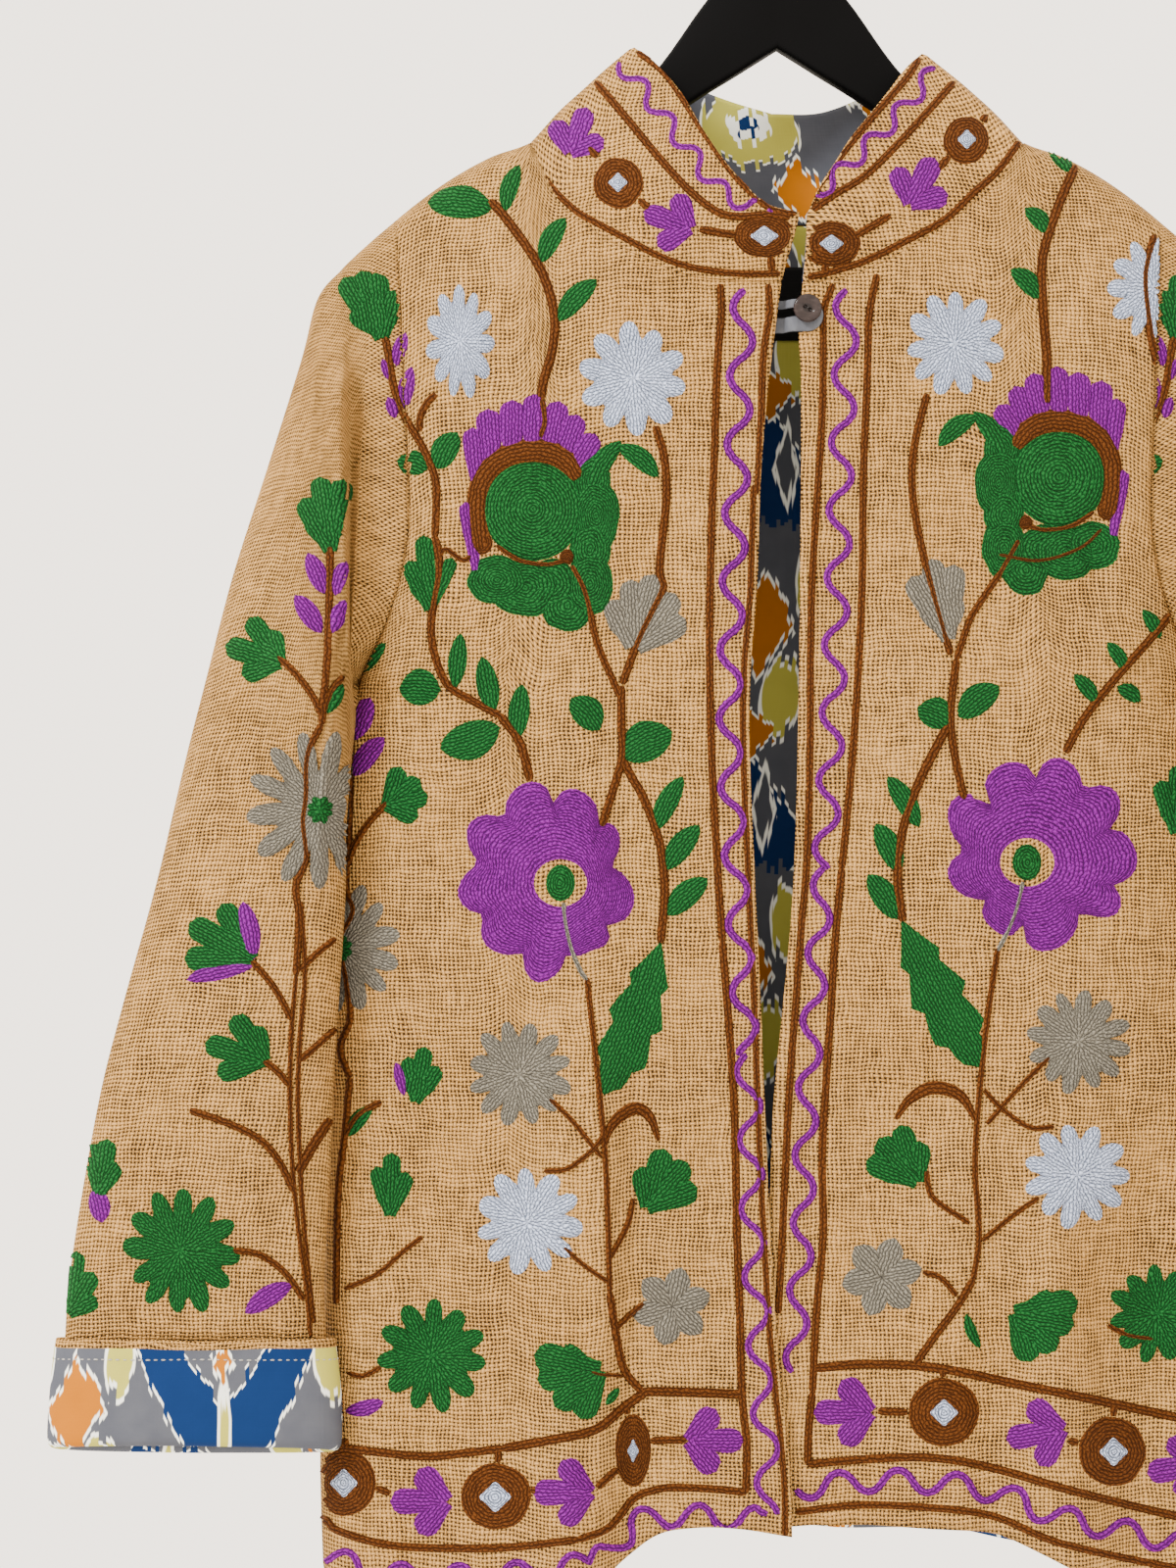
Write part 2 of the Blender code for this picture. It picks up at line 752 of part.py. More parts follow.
def make_button(finish):
    """A turned shell button, whose short shank stands on the left front's edge."""
    back_y = face_height(1, SHANK_X, SHANK_Z) - BUTTON_PROUD
    foot_y = face_height(1, SHANK_X, SHANK_Z) - GAP - FACET_ROOM
    points = []
    sides = BUTTON_SIDES
    for radius, rise in BUTTON_PROFILE:
        for n in range(sides):
            turn = 2 * math.pi * n / sides
            x = BUTTON_X + radius * math.cos(turn)
            z = BUTTON_Z + radius * math.sin(turn)
            points.append(Vector((x, back_y - rise, z)))
    faces = []
    for ring in range(len(BUTTON_PROFILE) - 1):
        for n in range(sides):
            a = ring * sides + n
            b = ring * sides + (n + 1) % sides
            faces.append((a, b, b + sides, a + sides))
    faces.append(tuple((len(BUTTON_PROFILE) - 1) * sides + n for n in range(sides)))
    faces.append(tuple(reversed(range(sides))))
    button = body_from("button", points, faces, finish)
    shank = []
    for y in (foot_y, back_y - SHANK_INTO_BUTTON):
        ring = []
        for n in range(SHANK_SIDES):
            turn = 2 * math.pi * n / SHANK_SIDES
            x = SHANK_X + SHANK_RADIUS * math.cos(turn)
            ring.append(Vector((x, y, SHANK_Z + SHANK_RADIUS * math.sin(turn))))
        shank.append(ring)
    post = swept("button_post", shank, finish, False)
    join = button.modifiers.new("post", "BOOLEAN")
    join.operation = "UNION"
    join.object = post
    post.hide_render = True
    post.display_type = "WIRE"
    return button


def loop_outline(left, right, middle_z, half_height):
    """Points of a flat outline with a square left end and a round right end."""
    bend_x = right - half_height
    straight = [left, *LOOP_STATIONS]
    points = [(x, middle_z + half_height) for x in straight]
    for n in range(LOOP_STEPS + 1):
        turn = math.pi / 2 - math.pi * n / LOOP_STEPS
        points.append((bend_x + half_height * math.cos(turn), middle_z + half_height * math.sin(turn)))
    points += [(x, middle_z - half_height) for x in reversed(straight)]
    return points


def make_loop(finish):
    """The fabric loop: it leaves the back of the right front's edge and goes round the button's shank."""
    outer = loop_outline(LOOP_LEFT_X, LOOP_RIGHT_X, LOOP_Z, LOOP_HALF_HEIGHT)
    inner = loop_outline(LOOP_SLOT_LEFT_X, LOOP_SLOT_RIGHT_X, SHANK_Z, LOOP_SLOT_HALF_HEIGHT)
    behind = face_height(-1, LOOP_LEFT_X, LOOP_Z) + CLOTH + GAP + LOOP_THICK + LOOP_ROOM
    ahead = face_height(1, SHANK_X, LOOP_Z) - 2 * GAP - FACET_ROOM
    sections = []
    for (ox, oz), (ix, iz) in zip(outer, inner):
        ring = []
        for x, z, lift in ((ox, oz, 0), (ox, oz, LOOP_THICK), (ix, iz, LOOP_THICK), (ix, iz, 0)):
            y = mix(behind, ahead, smooth_step(*LOOP_CROSSES, x)) - lift
            ring.append(Vector((x, y, z)))
        sections.append(ring)
    return swept("button_loop", sections, finish, True)


def make_hanger(finish):
    """The flat hanger: two arms from one tall middle, with soft edges."""
    rows = [(-row[0], row[1], row[2]) for row in reversed(HANGER_ARM[1:])] + list(HANGER_ARM)
    sections = []
    for x, top, foot in rows:
        ring = []
        for y, inset in (
            (-HANGER_HALF_THICK + HANGER_EDGE, 0),
            (HANGER_HALF_THICK - HANGER_EDGE, 0),
            (HANGER_HALF_THICK, HANGER_EDGE),
        ):
            ring.append(Vector((x, y, top - inset)))
        for y, inset in (
            (HANGER_HALF_THICK, HANGER_EDGE),
            (HANGER_HALF_THICK - HANGER_EDGE, 0),
            (-HANGER_HALF_THICK + HANGER_EDGE, 0),
            (-HANGER_HALF_THICK, HANGER_EDGE),
        ):
            ring.append(Vector((x, y, foot + inset)))
        ring.append(Vector((x, -HANGER_HALF_THICK, top - HANGER_EDGE)))
        sections.append(ring)
    return swept("hanger", sections, finish, False)


def make_hook(finish):
    """A wire hook: a round bend over the rail, then a stem down to the hanger."""
    centre_z = HOOK_WIRE - HOOK_RADIUS
    path = []
    for n in range(HOOK_ARC_STEPS + 1):
        turn = math.radians(mix(HOOK_START_DEGREES, HOOK_END_DEGREES, n / HOOK_ARC_STEPS))
        path.append(Vector((HOOK_RADIUS * math.cos(turn), 0, centre_z + HOOK_RADIUS * math.sin(turn))))
    path += [Vector((x, 0, z)) for x, z in HOOK_STEM]
    sections = []
    for n, point in enumerate(path):
        ahead = (path[min(n + 1, len(path) - 1)] - path[max(n - 1, 0)]).normalized()
        aside = Vector((0, 1, 0))
        up = ahead.cross(aside)
        ring = []
        for k in range(HOOK_SIDES):
            turn = 2 * math.pi * k / HOOK_SIDES
            ring.append(point + (aside * math.cos(turn) + up * math.sin(turn)) * HOOK_WIRE)
        sections.append(ring)
    return swept("hanger_hook", sections, finish, False)


def main():
    for old in list(bpy.data.objects):
        bpy.data.objects.remove(old)

    cloth = material("jute cloth", (0.68, 0.45, 0.22), 0.9)
    printed = material("printed cotton", (0.17, 0.2, 0.26), 0.85)
    tape = material("woven tape", (0.01, 0.01, 0.012), 0.8)
    shell = material("shell button", (0.16, 0.12, 0.11), 0.3)
    satin = material("black satin", (0.01, 0.01, 0.011), 0.45)
    steel = material("steel wire", (0.6, 0.6, 0.6), 0.3, 1.0)

    fronts = {side: front_grid(side) for side in (-1, 1)}
    back = back_grid()
    collar = collar_grid(fronts, back)

    front_ways = {side: grid_normals(fronts[side], False) for side in (-1, 1)}
    back_ways = grid_normals(back, False)
    collar_ways = grid_normals(collar, False)
    join_seams(fronts, back, front_ways, back_ways, collar_ways)

    for side, word in ((-1, "right"), (1, "left")):
        rings = sleeve_grid(side, fronts[side], back)
        ways = sleeve_ways(side, rings, front_ways[side], back_ways)
        rings[0] = [point + Vector((side * GAP, 0, 0)) for point in rings[0]]
        wall("sleeve_" + word, rings, moved(rings, ways, -CLOTH), True, cloth)
        make_cuff(side, rings, ways, printed)

    for side, word in ((-1, "right"), (1, "left")):
        drawn = pulled(fronts[side], False, True)
        wall("front_" + word, drawn, moved(drawn, front_ways[side], -CLOTH), False, cloth)

    drawn = pulled(back, True, True)
    wall("back", drawn, moved(drawn, back_ways, -CLOTH), False, cloth)
    lining = moved(drawn, back_ways, -(CLOTH + GAP))
    wall("back_lining", lining, moved(drawn, back_ways, -(CLOTH + GAP + LINING)), False, printed)

    middle = NECK_COLUMNS + SHOULDER_COLUMNS
    columns = range(middle - LABEL_COLUMNS, middle + LABEL_COLUMNS + 1)
    rows = range(LABEL_ROWS[0], LABEL_ROWS[1] + 1)
    patch = [[drawn[i][j] for j in columns] for i in rows]
    patch_ways = [[back_ways[i][j] for j in columns] for i in rows]
    under = CLOTH + LINING + 2 * GAP
    wall("label", moved(patch, patch_ways, -under), moved(patch, patch_ways, -under - LABEL), False, tape)

    drawn = pulled(collar, False, False)
    wall("collar", drawn, moved(drawn, collar_ways, -CLOTH), False, cloth)
    lining = moved(drawn, collar_ways, -(CLOTH + GAP))
    wall("collar_lining", lining, moved(drawn, collar_ways, -(CLOTH + GAP + LINING)), False, printed)

    make_button(shell)
    make_loop(printed)
    make_hanger(satin)
    make_hook(steel)


main()
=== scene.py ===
"""An embroidered jacket of coarse jute-like cloth on a flat hanger: its cloth, thread, print and light.

The jacket faces -Y and its wearer's right side is at -X. Tables and shape functions are in millimetres,
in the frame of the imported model, and the meshes are made in metres.
"""

import math

import bmesh
import bpy
import numpy as np
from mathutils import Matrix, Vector, noise
from mathutils.bvhtree import BVHTree


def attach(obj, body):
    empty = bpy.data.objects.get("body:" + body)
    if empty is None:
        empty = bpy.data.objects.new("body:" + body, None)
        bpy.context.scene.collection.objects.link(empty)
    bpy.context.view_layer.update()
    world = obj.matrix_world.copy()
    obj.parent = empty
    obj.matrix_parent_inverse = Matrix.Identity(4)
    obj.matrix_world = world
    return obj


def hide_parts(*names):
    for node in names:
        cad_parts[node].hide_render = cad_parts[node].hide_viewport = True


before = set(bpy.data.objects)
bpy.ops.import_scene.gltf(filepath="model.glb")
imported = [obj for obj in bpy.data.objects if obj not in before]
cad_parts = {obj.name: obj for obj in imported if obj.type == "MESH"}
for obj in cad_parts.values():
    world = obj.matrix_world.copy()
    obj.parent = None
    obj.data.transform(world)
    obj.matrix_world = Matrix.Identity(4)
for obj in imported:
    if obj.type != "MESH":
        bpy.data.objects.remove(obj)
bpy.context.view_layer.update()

METRES = 0.001
# The wearer's sides, and the way that each lies along X.
SIDES = {"right": -1, "left": 1}

# Thickness of the pieces and the space between them.
CLOTH = 2.0
LINING = 1.0
LABEL = 0.6
GAP = 0.3
# Two panels meet in a seam with a slit this wide.
SEAM_SLIT = 0.05

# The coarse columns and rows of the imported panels, and how finely each is divided here.
NECK_COLUMNS = 8
SHOULDER_COLUMNS = 6
ROWS_TO_UNDERARM = 10
ROWS_BELOW = 9
FINE_COLUMNS = 8
FINE_ROWS = 9
NECK_SHARE = 0.58
ROW_CROWDING = 1.5
COLUMNS_SPREAD_BY = 0.5

# The body's outline. "Out" is the distance from the centre line towards either side.
NECK_POINT_OUT = 119.0
TIP_OUT = 183.0
TIP_Z = -186.0
UNDERARM_Z = -412.0
SIDE_HEM_Z = -838.0
OVER_HANGER = 10.0
FALL = 70.0
ARMHOLE_DEPTH = 17.0
ARMHOLE_CLOSE = 70.0
ACROSS_POWER = 4

# Columns: out, height of the shoulder line, which runs on over the neck.
SHOULDER = ((0, -84), (70, -121), (119, -149), (138, -156), (160, -168.5), (183, -186), (215, -215))

# Columns: height, half width of the body at the armhole seam and the side seam.
HALF_WIDTH = (
    (-838, 218.5), (-783, 220), (-720, 218.5), (-640, 217), (-560, 215), (-500, 213.5), (-460, 212),
    (-440, 209.5), (-425, 206.5), (-412, 202), (-382, 187), (-360, 179.5), (-332, 175.5), (-290, 177),
    (-230, 180), (-186, 183),
)

# Columns: height, how far the front and the back stand from the middle plane.
FRONT_DEPTH = ((-850, 38), (-700, 35), (-560, 34), (-412, 37), (-300, 42), (-200, 46))
BACK_DEPTH = ((-850, 36), (-700, 34), (-560, 33), (-412, 34), (-300, 38), (-200, 42))

# Columns: share from the centre front to the neck point, out, height.
NECK_SEAM = {
    -1: (
        (0, 0.5, -223), (0.15, 21, -222.5), (0.3, 42, -220), (0.45, 58, -214.5), (0.6, 74, -206.5),
        (0.75, 88, -198), (0.9, 106, -181), (1, 119, -149),
    ),
    1: (
        (0, 9.5, -224), (0.15, 25, -221.5), (0.3, 41, -216.5), (0.45, 57, -208), (0.6, 71, -199),
        (0.75, 85, -188.5), (0.9, 104, -172), (1, 119, -149),
    ),
}
BACK_NECK_SEAM = ((0, 0, -183), (0.25, 30, -181.5), (0.5, 62, -175), (0.75, 94, -163), (1, 119, -149))

# Columns: share from the collar's front end to its side, out, front distance, height.
COLLAR_TOP = {
    -1: (
        (0, -8, 43.5, -191), (0.15, 7, 43.5, -187), (0.3, 17, 42, -178), (0.45, 27, 37, -165),
        (0.6, 37.5, 30, -147.5), (0.75, 47, 21, -129), (0.9, 59, 10, -112), (1, 69, 0, -102),
    ),
    1: (
        (0, 11, 42, -192), (0.15, 17, 41, -179), (0.3, 25, 37, -166), (0.45, 33, 32, -153),
        (0.6, 43, 26, -140), (0.75, 52, 19, -128), (0.9, 62, 10, -114), (1, 70.5, 0, -105),
    ),
}

# Columns: share from the centre back to the side, out, distance behind, height.
COLLAR_BACK_TOP = {
    -1: (
        (0, 0, 38, -126), (0.25, 22, 36, -120), (0.5, 44, 29, -113), (0.75, 62, 16, -107), (1, 69, 0, -102),
    ),
    1: (
        (0, 0, 38, -126), (0.25, 24, 36, -126), (0.5, 46, 30, -119), (0.75, 64, 16, -111),
        (1, 70.5, 0, -105),
    ),
}
COLLAR_BELLY = 2.5
COLLAR_ROWS = 28

# Over how many grid places to either side the cloth's threads are straightened.
GRAIN_REACH = 9

# Columns: height, X of the front edge. The right front laps over the left one below the gap.
FRONT_EDGE = {
    -1: (
        (-812, 4.8), (-780, 3.9), (-721, -2), (-657, -5.8), (-556, -9.9), (-497, -12.7), (-441, -15),
        (-403, -14.5), (-366, -11.7), (-312, -9.9), (-265, -5.8), (-223, -0.5),
    ),
    1: (
        (-812, -9), (-721, -7), (-641, -4.8), (-607, -3.5), (-570, -0.2), (-523, 4.4), (-478, 6.7),
        (-412, 8), (-366, 8.5), (-265, 8.5), (-247, 7.6), (-223, 9.5),
    ),
}
# How far the left front sinks under the right one, and where.
UNDERLAP = 4.4
UNDERLAP_OUT = 26.0
UNDERLAP_TOP_Z = -560.0
UNDERLAP_FADE = 90.0

# Columns: out at the hem, height of the hem.
FRONT_HEM = {
    -1: (
        (-5, -811), (20, -808), (50, -808), (62, -812), (76, -824), (92, -836), (140, -844), (190, -841),
        (218.5, -838),
    ),
    1: (
        (-9, -808), (30, -806), (66, -807), (100, -810), (122, -818), (150, -830), (190, -838),
        (218.5, -838),
    ),
}
BACK_HEM = ((0, -822), (80, -826), (150, -835), (218.5, -838))

# A fold rises over the first share of its length, and one that ends on the panel fades from a later share.
FOLD_RISES_BY = 0.35
FOLD_FADES_FROM = 0.65
# A fold is nothing beyond this many of its widths or lengths.
FOLD_REACH = 3
FOLD_REACH_DOWN = 2.5
# Columns: top out, top height, foot out, foot height, width, height of the ridge. A trough is below zero.
FRONT_FOLDS = {
    -1: (
        (96, -520, 101, -850, 20, 13), (74, -640, 74, -850, 8, -5), (146, -285, 143, -375, 6, -3.5),
        (90, -430, 92, -560, 9, 2.5), (150, -195, 182, -262, 10, 2.5), (170, -560, 168, -850, 20, -6),
        (34, -500, 30, -850, 22, -4),
    ),
    1: (
        (128, -600, 134, -850, 18, 11), (96, -640, 98, -850, 10, -3), (150, -300, 146, -400, 7, -3),
        (150, -195, 180, -262, 10, 2.5), (176, -560, 174, -850, 16, -5), (40, -520, 38, -850, 22, -4),
    ),
}
BACK_FOLDS = {
    -1: ((42, -330, 50, -850, 20, 8), (98, -420, 108, -850, 18, -6), (150, -340, 156, -850, 20, 7)),
    1: ((36, -420, 34, -850, 18, -6), (84, -340, 92, -850, 20, 8), (146, -400, 150, -850, 20, 6)),
}
# Fine soft creases that only this shell has, in the same columns.
FRONT_CREASES = {
    -1: (
        (128, -170, 168, -235, 6, -3.2), (106, -196, 150, -300, 8, -2.6), (164, -300, 160, -372, 5, 2.6),
        (140, -215, 172, -330, 6, 2.4), (120, -640, 116, -800, 6, -1.6), (52, -560, 56, -700, 7, 1.2),
        (84, -530, 74, -820, 9, 3.2), (98, -560, 92, -820, 7, -2.6), (20, -300, 26, -420, 8, -0.9),
        (186, -640, 184, -790, 6, 1.8),
    ),
    1: (
        (128, -170, 168, -240, 6, -3.0), (100, -192, 146, -290, 8, -2.4), (162, -310, 158, -384, 5, 2.4),
        (136, -210, 170, -322, 6, 2.2), (60, -430, 64, -560, 8, 1.4), (120, -545, 126, -820, 9, 2.8),
        (104, -560, 108, -820, 7, -2.2), (150, -660, 152, -800, 6, -1.6), (24, -320, 26, -440, 8, -0.9),
        (190, -620, 188, -790, 6, 1.8),
    ),
}
BACK_CREASES = {
    -1: ((60, -190, 120, -300, 9, -1.6), (130, -300, 140, -400, 6, 1.5), (20, -600, 24, -800, 7, -1.4)),
    1: ((70, -195, 128, -290, 9, -1.6), (128, -310, 136, -420, 6, 1.5), (60, -640, 62, -800, 7, -1.4)),
}

# Soft waves of the hanging panels and sleeves. Columns: layer of the noise, their size, their height.
PANEL_WAVES = ((60, 46, 1.3), (90, 17, 0.5))
SLEEVE_WAVES = (50, 30, 1.4)

# The right sleeve, from the armhole down. Its first ring is the armhole itself.
# Columns: ring, outer edge's out and height, inner edge's out and height, middle plane, half depth.
SLEEVE = (
    (1, 193, -194.5, 204.6, -414.5, -3, 28), (2, 203, -203.5, 205.2, -418.5, -8, 28),
    (3, 210, -210.5, 206, -424, -13, 28), (4, 221, -224, 206.2, -431, -17, 28),
    (5, 229, -254, 207, -441, -20, 28), (6, 246, -308, 208, -453, -22, 28),
    (7, 262, -358, 209, -466, -23, 28), (8, 274.5, -407, 210, -483, -24, 27),
    (9, 284, -446, 210, -503, -24, 26), (10, 297, -504, 210.5, -536, -24, 25),
    (11, 312, -561, 211.5, -583, -24, 24), (12, 322, -602, 212, -616, -23, 22),
    (13, 331, -652, 214, -656, -21, 21), (14, 337, -694, 216, -694, -21, 20),
    (15, 339, -722, 215, -722, -21, 19), (16, 341, -746, 213, -747, -21, 18),
    (17, 343, -768, 212, -769, -21, 18),
)
SLEEVE_END = 17
SLEEVE_BLEND_RINGS = 7
SLEEVE_OVAL_POWER = 0.9
# Columns: ring, how far its cloth stands out or sinks in beside the underarm.
UNDERARM_FOLD = ((0, 0), (1, -3), (2, -7), (3, 5), (4, 2.5), (5, 0))
UNDERARM_FOLD_START = (0.12, 0.45)
UNDERARM_FOLD_END = (0.85, 1)
SLEEVE_TILT = 12.0
SLEEVE_TILT_HEIGHTS = (-650, -760)
NEAR_BODY_FLAT = 0.5
NEAR_BODY_SHARES = (0.6, 0.95)
NEAR_BODY_RINGS = (10, 14)
# How far the sleeve's inner edge laps over the body's side, and the rings between which it does.
EDGE_LAP = 4.5
EDGE_LAP_STARTS = (1.4, 3.2)
EDGE_LAP_ENDS = (9, 12)
FINE_RINGS = 8
FINE_ROUND = 6
# The sleeve's wall is this share of its thickness at the armhole.
SLEEVE_HEAD_THIN = 0.1
# Inside the sleeve, the outer cloth reaches down to this ring, as the armhole's seam allowance.
SLEEVE_BOUND_RINGS = 5
# Soft creases round the sleeve. Columns: ring, share across, length in rings, width in shares, height, lean.
SLEEVE_CREASES = (
    (2.6, 0.3, 1.6, 0.06, 3.0, 0.06), (4.5, 0.72, 2.2, 0.045, 3.2, 0.02),
    (6.8, 0.84, 3.0, 0.035, 3.2, 0.01), (7.5, 0.3, 2.2, 0.08, -2.8, -0.04),
    (10.4, 0.55, 2.0, 0.07, 1.4, 0.05), (12.6, 0.82, 2.4, 0.05, -1.8, -0.02),
    (14.2, 0.3, 0.7, 0.12, 2.0, 0.3), (14.6, 0.7, 0.5, 0.14, 2.0, -0.3), (14.8, 0.5, 0.24, 0.5, 1.4, 0.1),
    (13.9, 0.6, 0.3, 0.3, -1.6, -0.2),
)

# The cuff goes from inside the sleeve's end, round its edge and up the outside.
CUFF_TOP_RING = 15.0
CUFF_CLOTH = 1.2
CUFF_BAND = 2.5
CUFF_STAND = 1.8
CUFF_TURN = 5.0
CUFF_RIM = 5.5

# The label, as shares of the back's neck columns and its coarse rows.
LABEL_COLUMNS = 2
LABEL_ROWS = (2, 4)

BUTTON_X = 11.4
BUTTON_Z = -236.0
BUTTON_PROUD = 3.4
SHANK_X = 13.4
SHANK_Z = -237.2
BUTTON_SIDES = 64
# Columns: distance from the button's middle, height above its back.
BUTTON_PROFILE = (
    (0.01, 0), (3.0, 0), (6.0, 0.05), (6.45, 0.35), (6.62, 0.9), (6.6, 1.4), (6.35, 2.0), (5.9, 2.4),
    (5.2, 2.5), (4.4, 2.35), (3.6, 2.1), (2.8, 1.85), (2.0, 1.65), (1.2, 1.5), (0.6, 1.45), (0.01, 1.44),
)
# The two holes lie in a slanted slot. Columns: X and Z from the button's middle, radius, depth.
BUTTON_HOLES = ((-1.15, 0.75, 0.75, 1.2), (1.15, -0.75, 0.75, 1.2))
BUTTON_HOLE_EDGE = (0.6, 1.5)
LOOP_THICK = 0.9
LOOP_LEFT_X = -7.0
LOOP_RIGHT_X = 19.0
LOOP_Z = -238.8
LOOP_HALF_HEIGHT = 7.6
LOOP_SLOT_LEFT_X = -5.6
LOOP_SLOT_RIGHT_X = 16.0
LOOP_SLOT_HALF_HEIGHT = 2.0
LOOP_STEPS = 24
LOOP_STRAIGHT_TO_X = 8.5
LOOP_STATIONS = 14
LOOP_SIDES = 10
LOOP_END_STEPS = 3
LOOP_ROOM = 1.9
LOOP_CROSSES = (-0.2, 5.6)

# Hanger. Columns: out, top edge height, lower edge height.
HANGER_ARM = (
    (0, -56, -104), (9, -57, -109.6), (20, -66, -116.5), (34, -81, -125), (57, -113, -140),
    (80, -136, -154.5), (100, -150, -167), (112, -157.5, -175), (124, -161.2, -182), (140, -164.6, -192),
    (160, -175.2, -204), (173, -185.2, -211), (180, -191.5, -208),
)
HANGER_HALF_THICK = 5.5
HANGER_EDGE = 3.0
HANGER_STEPS = 60
HANGER_EDGE_STEPS = 4
HOOK_WIRE = 2.0
HOOK_RADIUS = 20.0
HOOK_START_DEGREES = 196
HOOK_END_DEGREES = -42
HOOK_STEPS = 72
STEM_STEPS = 4
WIRE_SIDES = 16
TUBE_END = 0.45
# Columns: X, height of the hook's stem, down to the hanger.
HOOK_STEM = ((6.5, -36.5), (1.6, -41.5), (0, -47), (0, -51.5), (0, -55.6))

# The photograph's frame: pixels from its left and top, and the camera that sees it.
PHOTO_WIDTH = 1200
PHOTO_HEIGHT = 1600
EYE = Vector((-90.9, -1335.0, -457.7))
PIXEL = 0.46
CLOTH_DISTANCE = 1300.0
SENSOR = 36.0


def along(table, key, column=1):
    """One column of a table at a key, on a smooth curve through its rows, which rise by their key."""
    last = len(table) - 1
    if key <= table[0][0]:
        return table[0][column]
    if key >= table[last][0]:
        return table[last][column]
    row = 0
    while key > table[row + 1][0]:
        row += 1

    def slope(at):
        before = table[max(at - 1, 0)]
        after = table[min(at + 1, last)]
        return (after[column] - before[column]) / (after[0] - before[0])

    span = table[row + 1][0] - table[row][0]
    share = (key - table[row][0]) / span
    start = table[row][column]
    end = table[row + 1][column]
    ease = share * share * (3 - 2 * share)
    lead = share * (1 - share) ** 2 * span * slope(row)
    trail = share * share * (1 - share) * span * slope(row + 1)
    return start + (end - start) * ease + lead - trail


def mix(start, end, share):
    return start + (end - start) * share


def smooth_step(low, high, value):
    share = min(max((value - low) / (high - low), 0), 1)
    return share * share * (3 - 2 * share)


def quarter_round(share):
    """0 to 1 along a quarter circle that starts upright."""
    left = 1 - min(max(share, 0), 1)
    return math.sqrt(1 - left * left)


def half_width(height):
    return along(HALF_WIDTH, height)


def folds(table, out, height):
    """Height of all ridges and troughs of one table at a point of a panel."""
    total = 0.0
    for top_out, top_z, foot_out, foot_z, width, rise in table:
        down = min(max((top_z - height) / (top_z - foot_z), 0), 1)
        if down <= 0:
            continue
        aside = (out - mix(top_out, foot_out, down)) / width
        if abs(aside) > FOLD_REACH:
            continue
        length = smooth_step(0, FOLD_RISES_BY, down)
        if foot_z > SIDE_HEM_Z:
            length *= 1 - smooth_step(FOLD_FADES_FROM, 1, down)
        total += rise * length * math.exp(-aside * aside)
    return total


def soft_waves(x, y, z, size, height):
    """Slow uneven waves of hanging cloth."""
    return height * noise.noise(Vector((x / size, y / size, z / (1.6 * size))))


def panel_depth(side, out, height, is_front):
    """How far the outside of the front or back stands from the middle plane."""
    drop = max(along(SHOULDER, abs(out)) - height, 0)
    over = OVER_HANGER * quarter_round(drop / OVER_HANGER)
    hang = 1 - math.exp(-drop / FALL)
    full = along(FRONT_DEPTH if is_front else BACK_DEPTH, height)
    body = over + (full - OVER_HANGER) * hang
    close = quarter_round((height - UNDERARM_Z) / ARMHOLE_CLOSE)
    at_armhole = (over + ARMHOLE_DEPTH * hang) * close
    across = math.sqrt(max(1 - min(abs(out) / half_width(height), 1) ** ACROSS_POWER, 0))
    table = (FRONT_FOLDS if is_front else BACK_FOLDS)[side]
    fine = (FRONT_CREASES if is_front else BACK_CREASES)[side]
    creases = (folds(table, out, height) + folds(fine, out, height)) * hang
    for layer, size, rise in PANEL_WAVES:
        creases += soft_waves(side * out, layer if is_front else -layer, height, size, rise) * hang
    if is_front and side > 0:
        under = 1 - smooth_step(UNDERLAP_TOP_Z - UNDERLAP_FADE, UNDERLAP_TOP_Z, height)
        creases -= UNDERLAP * under * (1 - smooth_step(UNDERLAP_OUT / 2, UNDERLAP_OUT, out))
    return (body + creases) * across + at_armhole * (1 - across)


def row_share(row):
    """Share of the way down a panel's side at a coarse row, whole or not, with one row at the underarm."""
    underarm = (TIP_Z - UNDERARM_Z) / (TIP_Z - SIDE_HEM_Z)
    if row <= ROWS_TO_UNDERARM:
        return underarm * (row / ROWS_TO_UNDERARM) ** ROW_CROWDING
    return mix(underarm, 1, (row - ROWS_TO_UNDERARM) / ROWS_BELOW)


def column_place(column):
    """0 to 1 along the neck and 1 to 2 along the shoulder, for a coarse column, whole or not."""
    if column <= NECK_COLUMNS:
        return column / NECK_COLUMNS
    return 1 + (column - NECK_COLUMNS) / SHOULDER_COLUMNS


def panel_point(side, place, down, is_front):
    """A point on the outside of a front or of half the back, at a column's place and a share down."""
    neck = NECK_SEAM[side] if is_front else BACK_NECK_SEAM
    hem = FRONT_HEM[side] if is_front else BACK_HEM
    if place <= 1:
        top_out = along(neck, place, 1)
        top_z = along(neck, place, 2)
    else:
        top_out = mix(NECK_POINT_OUT, TIP_OUT, place - 1)
        top_z = along(SHOULDER, top_out)
    edge_top = side * along(FRONT_EDGE[side], neck[0][2]) if is_front else 0
    edge_foot = side * along(FRONT_EDGE[side], hem[0][1]) if is_front else 0
    edge_z = mix(neck[0][2], hem[0][1], down)
    edge = side * along(FRONT_EDGE[side], edge_z) if is_front else 0
    outer = half_width(mix(TIP_Z, SIDE_HEM_Z, down))
    share_top = (top_out - edge_top) / (TIP_OUT - edge_top)
    share_foot = place * NECK_SHARE if place <= 1 else mix(NECK_SHARE, 1, place - 1)
    share = mix(share_top, share_foot, smooth_step(0, COLUMNS_SPREAD_BY, down))
    out = mix(edge, outer, share)
    foot_z = along(hem, mix(edge_foot, half_width(SIDE_HEM_Z), share_foot))
    height = mix(top_z, foot_z, down)
    depth = panel_depth(side, out, height, is_front)
    return (side * out, -depth if is_front else depth, height)


def fine_rows():
    count = (ROWS_TO_UNDERARM + ROWS_BELOW) * FINE_ROWS
    return [row_share(i / FINE_ROWS) for i in range(count + 1)]


